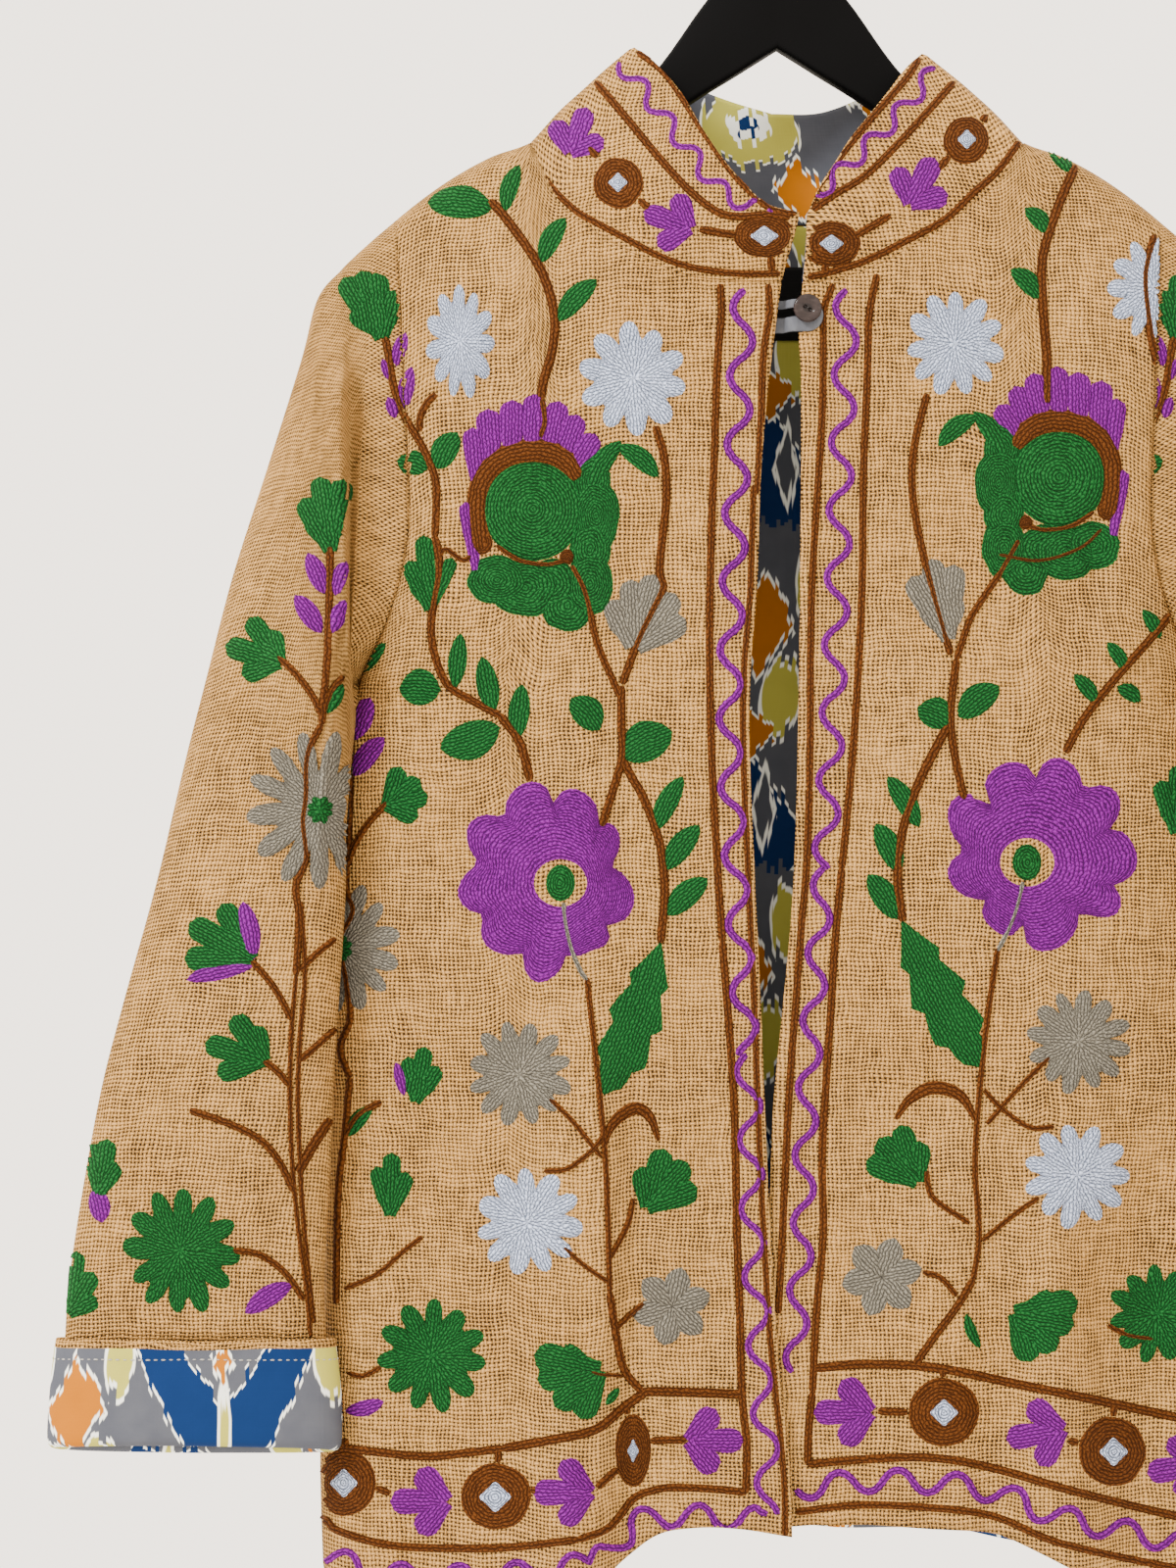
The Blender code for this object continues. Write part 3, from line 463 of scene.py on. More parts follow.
def fine_places():
    count = (NECK_COLUMNS + SHOULDER_COLUMNS) * FINE_COLUMNS
    return [column_place(j / FINE_COLUMNS) for j in range(count + 1)]


def front_grid(side):
    places = fine_places()
    return np.array([[panel_point(side, place, down, True) for place in places] for down in fine_rows()])


def back_grid():
    """The whole back, from the wearer's right side to the left."""
    places = fine_places()
    rows = []
    for down in fine_rows():
        right = [panel_point(-1, place, down, False) for place in reversed(places[1:])]
        left = [panel_point(1, place, down, False) for place in places]
        rows.append(right + left)
    return np.array(rows)


def collar_grid(fronts, back):
    """The collar's outside, from the right front end round the back to the left front end."""
    half = NECK_COLUMNS * FINE_COLUMNS
    middle = (NECK_COLUMNS + SHOULDER_COLUMNS) * FINE_COLUMNS
    seam = [fronts[-1][0][j] for j in range(half + 1)]
    seam += [back[0][middle + j] for j in range(-half + 1, half)]
    seam += [fronts[1][0][j] for j in range(half, -1, -1)]

    def top_point(table, side, face, share):
        out, distance, height = (along(table[side], share, column) for column in (1, 2, 3))
        return (side * out, face * distance, height)

    shares = [j / half for j in range(half + 1)]
    top = [top_point(COLLAR_TOP, -1, -1, share) for share in shares]
    top += [top_point(COLLAR_BACK_TOP, -1, 1, share) for share in shares[-2:0:-1]]
    top += [top_point(COLLAR_BACK_TOP, 1, 1, share) for share in shares[:-1]]
    top += [top_point(COLLAR_TOP, 1, -1, share) for share in reversed(shares)]
    seam = np.array(seam)
    top = np.array(top)
    rows = []
    for i in range(COLLAR_ROWS + 1):
        share = i / COLLAR_ROWS
        line = seam + (top - seam) * share
        outward = line[:, :2] / np.linalg.norm(line[:, :2], axis=1, keepdims=True)
        belly = np.array([soft_waves(x, y, z, 22, 1.2) for x, y, z in line])
        line[:, :2] += outward * ((COLLAR_BELLY + belly) * math.sin(math.pi * share))[:, None]
        rows.append(line)
    return np.array(rows)


def ring_fold(ring, share):
    """How far the sleeve's cloth stands out beside the underarm."""
    window = smooth_step(*UNDERARM_FOLD_START, share) * (1 - smooth_step(*UNDERARM_FOLD_END, share))
    return along(UNDERARM_FOLD, ring) * window


def sleeve_creases(ring, share):
    total = 0.0
    for at_ring, at_share, length, width, height, lean in SLEEVE_CREASES:
        down = (ring - at_ring) / length
        aside = (share - at_share - lean * down) / width
        if abs(down) < FOLD_REACH_DOWN and abs(aside) < FOLD_REACH:
            total += height * math.exp(-down * down - aside * aside)
    return total


def sleeve_grid(side, front, back):
    """Rings of one sleeve from the armhole to its end, outside face, front first."""
    last = 0 if side < 0 else back.shape[1] - 1
    reach = ROWS_TO_UNDERARM
    fine = FINE_ROUND
    places = [m / fine for m in range(2 * reach * fine)]
    column = front.shape[1] - 1
    seam = []
    for place in places:
        step = place if place <= reach else 2 * reach - place
        row = step * FINE_ROWS
        low = int(row)
        high = min(low + 1, reach * FINE_ROWS)
        source = front[:, column] if place <= reach else back[:, last]
        seam.append(mix(source[low], source[high], row - low))
    seam = np.array(seam)
    seam[0][1] = 0
    seam[reach * fine][1] = 0

    def ring_line(ring):
        out_x, out_z, in_x, in_z, middle, half = (along(SLEEVE, ring, c) for c in range(1, 7))
        in_x -= EDGE_LAP * smooth_step(*EDGE_LAP_STARTS, ring) * (1 - smooth_step(*EDGE_LAP_ENDS, ring))
        blend = smooth_step(0, SLEEVE_BLEND_RINGS, ring)
        line = []
        for place, start in zip(places, seam):
            step = place if place <= reach else 2 * reach - place
            at_seam = (step / reach) ** ROW_CROWDING
            at_oval = (1 - math.cos(math.pi * step / reach)) / 2
            share = mix(at_seam, at_oval, blend)
            face = -1 if 0 < place < reach else (0 if place in (0, reach) else 1)
            oval = max(math.sin(math.pi * step / reach), 0) ** SLEEVE_OVAL_POWER
            depth = mix(abs(start[1]), half * oval, blend)
            depth = max(depth + ring_fold(ring, share), depth * 0.5)
            height = mix(out_z, in_z, share)
            tilt = smooth_step(*SLEEVE_TILT_HEIGHTS, height)
            forward = mix(share, 1, smooth_step(SLEEVE_BLEND_RINGS, 2 * SLEEVE_BLEND_RINGS, ring))
            if face > 0:
                near = smooth_step(*NEAR_BODY_SHARES, share) * (1 - smooth_step(*NEAR_BODY_RINGS, ring))
                depth *= 1 - NEAR_BODY_FLAT * near
            x = side * mix(out_x, in_x, share)
            layer, size, swell = SLEEVE_WAVES
            wave = soft_waves(x, face * layer, height, size, swell) * min(ring / 3, 1) * oval
            rise = sleeve_creases(ring, share if face < 0 else 1.1 - share) * oval * min(ring / 2, 1)
            y = middle * forward + face * (depth + wave + rise)
            height -= SLEEVE_TILT * tilt * (y - middle) / (2 * half)
            line.append((x, y, height))
        return np.array(line)

    first = ring_line(1)
    rings = [mix(seam, first, n / FINE_RINGS) for n in range(FINE_RINGS)]
    rings[0] = rings[0] + np.array((side * SEAM_SLIT, 0, 0))
    for n in range((SLEEVE_END - 1) * FINE_RINGS + 1):
        rings.append(ring_line(1 + n / FINE_RINGS))
    return np.array(rings)


def grid_normals(grid, closed=False):
    """Outward normals of a grid of points. The rings may be closed."""
    if closed:
        across = np.roll(grid, -1, axis=1) - np.roll(grid, 1, axis=1)
    else:
        across = np.gradient(grid, axis=1)
    down = np.gradient(grid, axis=0)
    ways = np.cross(across, down)
    ways /= np.maximum(np.linalg.norm(ways, axis=2, keepdims=True), 1e-9)
    middle = grid.mean(axis=1, keepdims=True) if closed else np.zeros(3)
    lean = (ways * (grid - middle))[:, :, :2].sum()
    return -ways if lean < 0 else ways


def smoothed(values, axis, reach):
    """A moving average along one axis, over a few places to either side."""
    width = [(reach, reach) if n == axis else (0, 0) for n in range(values.ndim)]
    wide = np.pad(values, width, mode="reflect", reflect_type="odd")
    total = sum(np.take(wide, range(k, k + values.shape[axis]), axis=axis) for k in range(2 * reach + 1))
    return total / (2 * reach + 1)


def running(steps, axis=0):
    """Sums of the steps so far along an axis, from zero."""
    return np.insert(np.cumsum(steps, axis=axis), 0, 0, axis=axis)


def cloth_lengths(grid):
    """For each point, its place on the flat cloth: along the weft and along the warp, in millimetres."""
    step = np.diff(grid, axis=1)
    run = np.sign(step[:, :, :1]) * np.linalg.norm(step[:, :, :2], axis=2, keepdims=True)
    weft = running(run[:, :, 0], 1) + grid[:, :1, 0]
    step = np.diff(grid, axis=0)
    run = np.sign(step[:, :, 2]) * np.linalg.norm(step[:, :, 1:], axis=2)
    warp = running(run)
    warp += grid[-1:, :, 2] - warp[-1:]
    return np.stack([smoothed(weft, 0, GRAIN_REACH), smoothed(warp, 1, GRAIN_REACH)], axis=2)


def ring_lengths(grid):
    """For each point of closed rings, its place round the ring and along the tube, in millimetres."""
    step = np.linalg.norm(np.roll(grid, -1, axis=1) - grid, axis=2)
    round_ring = running(step, 1)
    length = running(np.linalg.norm(np.diff(grid, axis=0), axis=2))
    length -= length[-1:]
    length = np.concatenate([length, length[:, :1]], axis=1)
    quarter = grid.shape[1] // 4
    round_ring -= round_ring[:, quarter:quarter + 1]
    return np.stack([smoothed(round_ring, 0, GRAIN_REACH), -smoothed(length, 1, GRAIN_REACH)], axis=2)


def quads(rows, columns, closed_rows=False, closed_columns=True):
    """Four-sided faces over rows of points. The rows may run round, and the columns too."""
    faces = []
    for i in range(rows if closed_rows else rows - 1):
        for j in range(columns if closed_columns else columns - 1):
            here = i * columns
            after = (i + 1) % rows * columns
            beside = (j + 1) % columns
            faces.append((here + j, here + beside, after + beside, after + j))
    return faces


def add_object(name, data):
    made = bpy.data.objects.new(name, data)
    bpy.context.scene.collection.objects.link(made)
    return made


def piece_from(name, points, faces, uvs=None, slots=None, materials=(), solid=True):
    """One object, from points in millimetres, faces, each corner's UV and each face's material."""
    mesh = bpy.data.meshes.new(name)
    mesh.from_pydata((np.asarray(points) * METRES).tolist(), [], [tuple(int(i) for i in f) for f in faces])
    for finish in materials:
        mesh.materials.append(finish)
    if uvs is not None:
        layer = mesh.uv_layers.new(name="cloth")
        layer.data.foreach_set("uv", np.asarray(uvs, np.float32).reshape(-1) * METRES)
    if slots is not None:
        mesh.polygons.foreach_set("material_index", np.asarray(slots, np.int32))
    mesh.shade_smooth()
    mesh.update()
    if solid:
        work = bmesh.new()
        work.from_mesh(mesh)
        bmesh.ops.recalc_face_normals(work, faces=work.faces)
        work.to_mesh(mesh)
        work.free()
    return add_object(name, mesh)


def shell(name, outside, inside, outer_uv, closed, materials, bound=0):
    """A closed wall between two grids: outer faces take the first material and inner ones the second.

    The first rows inside, as many as bound, take the first material too, as a seam's allowance does.
    """
    rows, columns = outside.shape[:2]
    points = np.concatenate([outside.reshape(-1, 3), inside.reshape(-1, 3)])
    wide = columns if closed else columns - 1
    faces = []
    uvs = []
    slots = []

    def put(slot, *corners):
        faces.append([layer * rows * columns + i * columns + j % columns for layer, i, j in corners])
        uvs.extend(outer_uv[i][j] for layer, i, j in corners)
        slots.append(slot)

    for i in range(rows - 1):
        for j in range(wide):
            put(0, (0, i, j), (0, i, j + 1), (0, i + 1, j + 1), (0, i + 1, j))
            put(int(i >= bound), (1, i + 1, j), (1, i + 1, j + 1), (1, i, j + 1), (1, i, j))
    end = rows - 1
    for j in range(wide):
        put(0, (0, 0, j + 1), (0, 0, j), (1, 0, j), (1, 0, j + 1))
        put(0, (0, end, j), (0, end, j + 1), (1, end, j + 1), (1, end, j))
    if not closed:
        side = columns - 1
        for i in range(rows - 1):
            put(0, (0, i, 0), (0, i + 1, 0), (1, i + 1, 0), (1, i, 0))
            put(0, (0, i + 1, side), (0, i, side), (1, i, side), (1, i + 1, side))
    return piece_from(name, points, faces, uvs, slots, materials)


class Value:
    """A number, colour or vector in a material's nodes. Operators on numbers add Math nodes."""

    def __init__(self, finish, socket):
        self.finish = finish
        self.socket = socket

    def math(self, operation, *others):
        return self.finish.node("ShaderNodeMath", {"operation": operation}, dict(enumerate((self, *others))))

    def __add__(self, other):
        return self.math("ADD", other)

    __radd__ = __add__

    def __sub__(self, other):
        return self.math("SUBTRACT", other)

    def __rsub__(self, other):
        return self.math("MULTIPLY_ADD", -1, other)

    def __mul__(self, other):
        return self.math("MULTIPLY", other)

    __rmul__ = __mul__

    def __truediv__(self, other):
        return self.math("DIVIDE", other)

    def __abs__(self):
        return self.math("ABSOLUTE")

    def floor(self):
        return self.math("FLOOR")

    def fraction(self):
        return self.math("FRACT")

    def power(self, exponent):
        return self.math("POWER", exponent)

    def most(self, other):
        return self.math("MAXIMUM", other)

    def below(self, edge, soft):
        """1 where this is well below an edge and 0 above it, with a soft step between."""
        sockets = {"Value": self, "From Min": edge - soft, "From Max": edge + soft, "To Min": 1, "To Max": 0}
        return self.finish.node("ShaderNodeMapRange", {"interpolation_type": "SMOOTHSTEP"}, sockets)


class Finish:
    """A material: a Principled shader whose inputs are set or fed by the nodes that it makes."""

    def __init__(self, name):
        self.material = bpy.data.materials.new(name)
        self.material.use_nodes = True
        self.tree = self.material.node_tree
        self.shader = self.tree.nodes["Principled BSDF"]

    def node(self, kind, settings=(), sockets=(), output=0):
        """Any node, by its type, its settings, and the values or links of its sockets."""
        made = self.tree.nodes.new(kind)
        for name, value in dict(settings).items():
            if name == "stops":
                ramp = made.color_ramp
                while len(ramp.elements) < len(value):
                    ramp.elements.new(1)
                for element, (position, colour) in zip(ramp.elements, value):
                    element.position = position
                    element.color = (*colour, 1)
            else:
                setattr(made, name, value)
        for key, value in dict(sockets).items():
            if isinstance(value, Value):
                self.tree.links.new(value.socket, made.inputs[key])
            elif isinstance(value, (tuple, list)) and len(value) == 3 and made.inputs[key].type == "RGBA":
                made.inputs[key].default_value = (*value, 1)
            else:
                made.inputs[key].default_value = value
        return Value(self, made.outputs[output])

    def blend(self, factor, start, end, kind="MIX"):
        """A colour between two, by a factor."""
        settings = {"data_type": "RGBA", "blend_type": kind, "clamp_factor": True}
        return self.node("ShaderNodeMix", settings, {0: factor, 6: start, 7: end}, output=2)

    def place(self):
        """The two lengths on the flat cloth, in metres."""
        flat = self.node("ShaderNodeUVMap", {"uv_map": "cloth"})
        return flat, self.split(flat, 0), self.split(flat, 1)

    def split(self, vector, axis):
        return self.node("ShaderNodeSeparateXYZ", (), {0: vector}, output=axis)

    def vector(self, x, y, z=0.0):
        return self.node("ShaderNodeCombineXYZ", (), {0: x, 1: y, 2: z})

    def noise(self, vector, scale, detail=2.0, roughness=0.5):
        sockets = {"Vector": vector, "Scale": scale, "Detail": detail, "Roughness": roughness}
        return self.node("ShaderNodeTexNoise", (), sockets)

    def spot(self):
        """The place on the object itself, in metres."""
        return self.node("ShaderNodeTexCoord", output=3)

    def ramp(self, factor, *stops):
        """A colour between stops, each a position and a colour."""
        return self.node("ShaderNodeValToRGB", {"stops": stops}, {0: factor})

    def random(self, vector):
        return self.node("ShaderNodeTexWhiteNoise", {"noise_dimensions": "3D"}, {"Vector": vector})

    def set(self, **inputs):
        for name, value in inputs.items():
            socket = self.shader.inputs[name.replace("_", " ")]
            if isinstance(value, Value):
                self.tree.links.new(value.socket, socket)
            elif isinstance(value, (tuple, list)):
                socket.default_value = (*value, 1)
            else:
                socket.default_value = value

    def bump(self, height, distance, strength=1.0):
        made = self.node("ShaderNodeBump", (), {"Height": height, "Distance": distance, "Strength": strength})
        self.tree.links.new(made.socket, self.shader.inputs["Normal"])


# Colours are linear light.
# The cloth's tones: a painted highlight on the yarns' crowns, the mid tone, and painted shade where the yarns
# dip.
TAN_PAINTED_HIGHLIGHT = (0.56, 0.305, 0.092)
TAN = (0.23, 0.120, 0.031)
TAN_PAINTED_SHADE = (0.09, 0.041, 0.008)
# Painted shade in the holes between the yarns.
HOLE_PAINTED_SHADE = (0.016, 0.006, 0.0015)
# Each thread has a lit tone and a shaded tone: painted highlight on the stitches' crowns and painted shade
# between rows and loops.
THREAD_COLOURS = {
    "brown": ((0.095, 0.030, 0.006), (0.022, 0.006, 0.001)),
    "green": ((0.010, 0.094, 0.020), (0.001, 0.014, 0.003)),
    "purple": ((0.17, 0.008, 0.22), (0.030, 0.001, 0.042)),
    "pale_blue": ((0.50, 0.58, 0.78), (0.05, 0.065, 0.10)),
    "grey": ((0.19, 0.175, 0.14), (0.035, 0.032, 0.026)),
}
THREAD_SLOTS = {name: number for number, name in enumerate(THREAD_COLOURS)}
# The weave, in metres and in yarns: its pitch, its sway, how unlike its yarns are, and their least width.
PITCH = 0.00205
WEAVE_SWAY = 2.6
YARN_APART = 3.71
YARN_ALONG = 0.16
YARN_LEAST = 0.12
# How far a yarn sinks where it passes under another, as a share of its height.
CROSSING = 0.34
# The chain stitch's rows and the length of a stitch, in metres unless the name says otherwise.
CHAIN_ROW = 0.0016
CHAIN_ROW_MM = 1.6
CHAIN_STITCH = 0.0025


def jute_cloth():
    """Coarse plain weave of uneven yarns with small holes between them, with painted highlight on the yarns'
    crowns, painted shade where they dip and painted shade in the holes.
    """
    finish = Finish("jute_cloth")
    flat, weft, warp = finish.place()
    sway = finish.noise(flat, 42, 2) - 0.5
    sway_two = finish.noise(finish.vector(warp, weft, 0.7), 38, 2) - 0.5
    across = weft / PITCH + sway * WEAVE_SWAY
    down = warp / PITCH + sway_two * WEAVE_SWAY
    column = across.floor()
    row = down.floor()
    from_column = across.fraction() - 0.5
    from_row = down.fraction() - 0.5
    yarn_one = finish.noise(finish.vector(column * YARN_APART, down * YARN_ALONG, 0.3), 1, 2, 0.6)
    yarn_two = finish.noise(finish.vector(across * YARN_ALONG, row * YARN_APART, 8.3), 1, 2, 0.6)
    region = finish.noise(flat, 26, 1)
    width_one = yarn_one * 1.1 + region * 0.5 + YARN_LEAST
    width_two = yarn_two * 1.1 + region * 0.5 + YARN_LEAST
    side_one = (1 - (from_column * 2 / width_one).power(2)).most(0)
    side_two = (1 - (from_row * 2 / width_two).power(2)).most(0)
    over = ((down + column - 0.5) * math.pi).math("COSINE")
    under = ((across + row - 0.5) * math.pi).math("COSINE") * -1
    rise_one = over * CROSSING + (1 - CROSSING)
    rise_two = under * CROSSING + (1 - CROSSING)
    height = (side_one * rise_one).most(side_two * rise_two)
    gap = (side_one.most(side_two)).below(0.52, 0.2)
    fibre = finish.noise(flat, 2600, 2)
    # The yarns' height paints highlight on their crowns and shade where they dip; the yarn and fibre noise is
    # their own uneven tone.
    shade = height + (yarn_one + yarn_two) * 0.4 + fibre * 0.25 - 0.46
    colour = finish.ramp(shade, (0, TAN_PAINTED_SHADE), (0.42, TAN), (0.95, TAN_PAINTED_HIGHLIGHT))
    stain = finish.noise(flat, 9, 3)
    colour = finish.blend(stain.below(0.42, 0.2) * 0.3, colour, (0.86, 0.80, 0.72), "MULTIPLY")
    # Painted shade in the holes between the yarns.
    colour = finish.blend(gap * 0.92, colour, HOLE_PAINTED_SHADE)
    finish.set(Base_Color=colour, Roughness=0.9, Specular_IOR_Level=0.06)
    finish.bump(height + fibre * 0.2 + (yarn_one + yarn_two) * 0.35, 0.0022, 1.0)
    return finish.material


def chain_stitch(name):
    """Rows of looped wool thread, along the first length of the piece's own UV map, with painted highlight on
    the stitches' crowns and painted shade between rows and loops.
    """
    light, dark = THREAD_COLOURS[name]
    finish = Finish("thread_" + name)
    flat, run, across = finish.place()
    sway = finish.noise(flat, 260, 2) - 0.5
    rows = across / CHAIN_ROW + sway * 1.5
    side = abs(rows.fraction() - 0.5) * 2
    row = rows.floor()
    start = finish.random(finish.vector(row, 3.1, 0.7))
    stitch = (run / CHAIN_STITCH + start + side * 0.45 + sway).fraction()
    loop = abs(stitch - 0.5) * 2
    height = (1 - side.power(2)) * (1 - loop.power(3) * 0.65)
    fuzz = finish.noise(flat, 1500, 2, 0.7)
    patch = finish.noise(flat, 60, 2)
    # Stitch height paints highlight and shade; fuzz and patch are the wool's own uneven tone.
    shade = height + fuzz + patch * 0.3 - 0.68
    colour = finish.blend(shade, dark, light)
    finish.set(Base_Color=colour, Roughness=0.8, Specular_IOR_Level=0.05)
    finish.bump(height + fuzz * 0.5, 0.0013, 0.9)
    return finish.material


PRINT_GREY = (0.062, 0.067, 0.084)
PRINT_BLUE = (0.004, 0.019, 0.078)
PRINT_ORANGE = (0.36, 0.112, 0.0002)
PRINT_KHAKI = (0.37, 0.35, 0.06)
PRINT_WHITE = (0.80, 0.82, 0.76)
# One repeat of the print, in millimetres, with its mirror axis at 0 across.
REPEAT_ACROSS = 142.0
REPEAT_DOWN = 169.0
TOOTH_WIDE = 1.9
TOOTH_LONG = 9.0
WHITE_EDGE = 1.15
# The print's ovals lie over its arms and its diamonds over both, each table in its own order.
# Columns: ink, middle across and down, half width, half height.
PRINT_DIAMONDS = (
    (PRINT_BLUE, 71, 130, 33, 42), (PRINT_GREY, 62, 116, 5, 18), (PRINT_ORANGE, 71, 25, 15, 25),
    (PRINT_ORANGE, 0, 2, 4.5, 9), (PRINT_ORANGE, 71, 79, 13, 12), (PRINT_ORANGE, 22, 120, 13, 16),
)
PRINT_OVALS = (
    (PRINT_KHAKI, 0, 38, 2.0, 17), (PRINT_KHAKI, 50, 1, 6.5, 16), (PRINT_KHAKI, 58, 60, 9, 18),
    (PRINT_KHAKI, 0, 88, 25, 19), (PRINT_WHITE, 0, 88, 11, 7), (PRINT_BLUE, 0, 88, 6, 3.5),
)
# The two blue arms lean towards the axis as they fall and meet below.
ARM_OUTER = (41, 0.49)
ARM_INNER = (18, 0.72)
ARM_FOOT = (54, 12, 0.8)


def printed_cotton(name, axis_at=0.0, top_at=0.0):
    """A traditional resist-dyed print of arms, diamonds and ovals, all with toothed white edges."""
    finish = Finish(name)
    flat, run, fall = finish.place()
    sway = finish.noise(flat, 22, 2) - 0.5
    across = (run * 1000 - axis_at) + sway * 5
    tooth = finish.random(finish.vector((run * 1000 / TOOTH_WIDE).floor(), 0.5, 0.2)) - 0.5
    drop = (fall * -1000 + top_at) + sway * 4 + tooth * TOOTH_LONG
    aside = abs((across / REPEAT_ACROSS + 0.5).fraction() - 0.5) * REPEAT_ACROSS
    down = (drop / REPEAT_DOWN + 0.15).fraction() * REPEAT_DOWN - REPEAT_DOWN * 0.15
    cloud = finish.noise(flat, 70, 3)
    colour = finish.blend(cloud.below(0.5, 0.25) * 0.5, PRINT_GREY, (0.085, 0.09, 0.105))
    outer_edge = aside + down * ARM_OUTER[1] - ARM_OUTER[0]
    inner_edge = aside * -1 - down * ARM_INNER[1] + ARM_INNER[0]
    foot = (down + abs(aside - ARM_FOOT[1]) * ARM_FOOT[2] - ARM_FOOT[0]) * 0.7
    arm = outer_edge.most(inner_edge).most(foot).most((down + 8) * -1)
    figures = [(arm, PRINT_BLUE)]
    for ink, at_across, at_down, wide, tall in PRINT_OVALS:
        far = (((aside - at_across) / wide).power(2) + ((down - at_down) / tall).power(2)).power(0.5)
        figures.append(((far - 1) * wide, ink))
    for ink, at_across, at_down, wide, tall in PRINT_DIAMONDS:
        far = abs(aside - at_across) / wide + abs(down - at_down) / tall
        figures.append(((far - 1) * (wide * 0.7), ink))
    for figure, ink in figures:
        colour = finish.blend(figure.below(WHITE_EDGE, 0.3), colour, PRINT_WHITE)
        colour = finish.blend(figure.below(0, 0.3), colour, ink)
    thread = finish.noise(finish.vector(run * 5, fall * 900, 0), 1, 1)
    thread += finish.noise(finish.vector(run * 900, fall * 5, 0), 1, 1)
    crumple_and_painted_shade = finish.noise(flat, 45, 3)
    # Painted shade in the hollows of the crumples, which also give the bump.
    colour = finish.blend(crumple_and_painted_shade.below(0.4, 0.25) * 0.25, colour, (0.6, 0.6, 0.62), "MULTIPLY")
    finish.set(Base_Color=colour, Roughness=0.75, Specular_IOR_Level=0.06)
    finish.bump(thread * 0.1 + crumple_and_painted_shade, 0.0012, 0.6)
    return finish.material


def loop_cotton():
    """The plain grey part of the print, on the button loop."""
    finish = Finish("loop_cotton")
    flat = finish.place()[0]
    cloud = finish.noise(flat, 260, 3)
    colour = finish.blend(cloud, (0.035, 0.038, 0.048), (0.11, 0.115, 0.13))
    finish.set(Base_Color=colour, Roughness=0.75, Specular_IOR_Level=0.06)
    finish.bump(cloud, 0.0008, 0.7)
    return finish.material


def label_tape():
    finish = Finish("label_tape")
    fall = finish.place()[2]
    rib = abs((fall / 0.0007).fraction() - 0.5)
    # Darker in the grooves between the ribs: painted shade.
    colour = finish.blend(rib, (0.002, 0.002, 0.0022), (0.007, 0.007, 0.008))
    finish.set(Base_Color=colour, Roughness=0.6, Specular_IOR_Level=0.08)
    finish.bump(rib, 0.0002, 0.5)
    return finish.material


def satin_black():
    """Smooth soft-touch black with the faint grain and dust of a used hanger."""
    finish = Finish("satin_black")
    spot = finish.spot()
    grain = finish.noise(spot, 900, 2)
    cloud = finish.noise(spot, 14, 2)
    colour = finish.blend(cloud * 0.6, (0.001, 0.001, 0.0011), (0.003, 0.003, 0.0033))
    finish.set(Base_Color=colour, Roughness=grain * 0.12 + cloud * 0.12 + 0.40, Specular_IOR_Level=0.03)
    finish.bump(grain, 0.00005, 0.4)
    return finish.material


def drawn_wire():
    finish = Finish("drawn_wire")
    spot = finish.spot()
    streak = finish.noise(finish.vector(finish.split(spot, 0) * 300, finish.split(spot, 1) * 2500, 0), 1, 2)
    colour = finish.blend(streak, (0.52, 0.52, 0.53), (0.72, 0.72, 0.73))
    finish.set(Base_Color=colour, Metallic=1.0, Roughness=streak * 0.15 + 0.2)
    return finish.material


SHELL_DARK = (0.006, 0.004, 0.004)
SHELL_SMOKE = (0.022, 0.015, 0.014)
SHELL_PALE = (0.07, 0.055, 0.05)
SHELL_SLOT = (0.008, 0.006, 0.006)
# The button's face in metres, about which its material grows dark.
BUTTON_FACE_Y = -0.045


def button_shell():
    """Smoky polished shell: cloudy layers, darker about its holes."""
    finish = Finish("button_shell")
    spot = finish.spot()
    cloud = finish.noise(spot, 210, 4, 0.6)
    layer = finish.noise(finish.vector(finish.split(spot, 0) * 260, finish.split(spot, 2) * 900, 0), 1, 3)
    shade = cloud * 0.6 + layer * 0.4
    colour = finish.ramp(shade, (0.25, SHELL_DARK), (0.55, SHELL_SMOKE), (0.85, SHELL_PALE))
    ends = {0: spot, 1: (BUTTON_X * METRES, BUTTON_FACE_Y, BUTTON_Z * METRES)}
    from_middle = finish.node("ShaderNodeVectorMath", {"operation": "DISTANCE"}, ends, output=1)
    slot = from_middle.below(0.0022, 0.0005)
    colour = finish.blend(slot * 0.9, colour, SHELL_SLOT)
    finish.set(Base_Color=colour, Roughness=cloud * 0.12 + 0.15, Coat_Weight=0.1, Specular_IOR_Level=0.12)
    finish.bump(cloud, 0.0001, 0.4)
    return finish.material


def rounded(outside, inside, edges, share=0.3):
    """Both faces of a wall drawn together at its named edges, so that a rim looks folded and not cut."""
    outer = outside.copy()
    inner = inside.copy()
    cuts = {"top": np.s_[0, :], "foot": np.s_[-1, :], "first": np.s_[:, 0], "last": np.s_[:, -1]}
    for edge in edges:
        cut = cuts[edge]
        outer[cut] = outside[cut] + (inside[cut] - outside[cut]) * share
        inner[cut] = inside[cut] + (outside[cut] - inside[cut]) * share
    return outer, inner


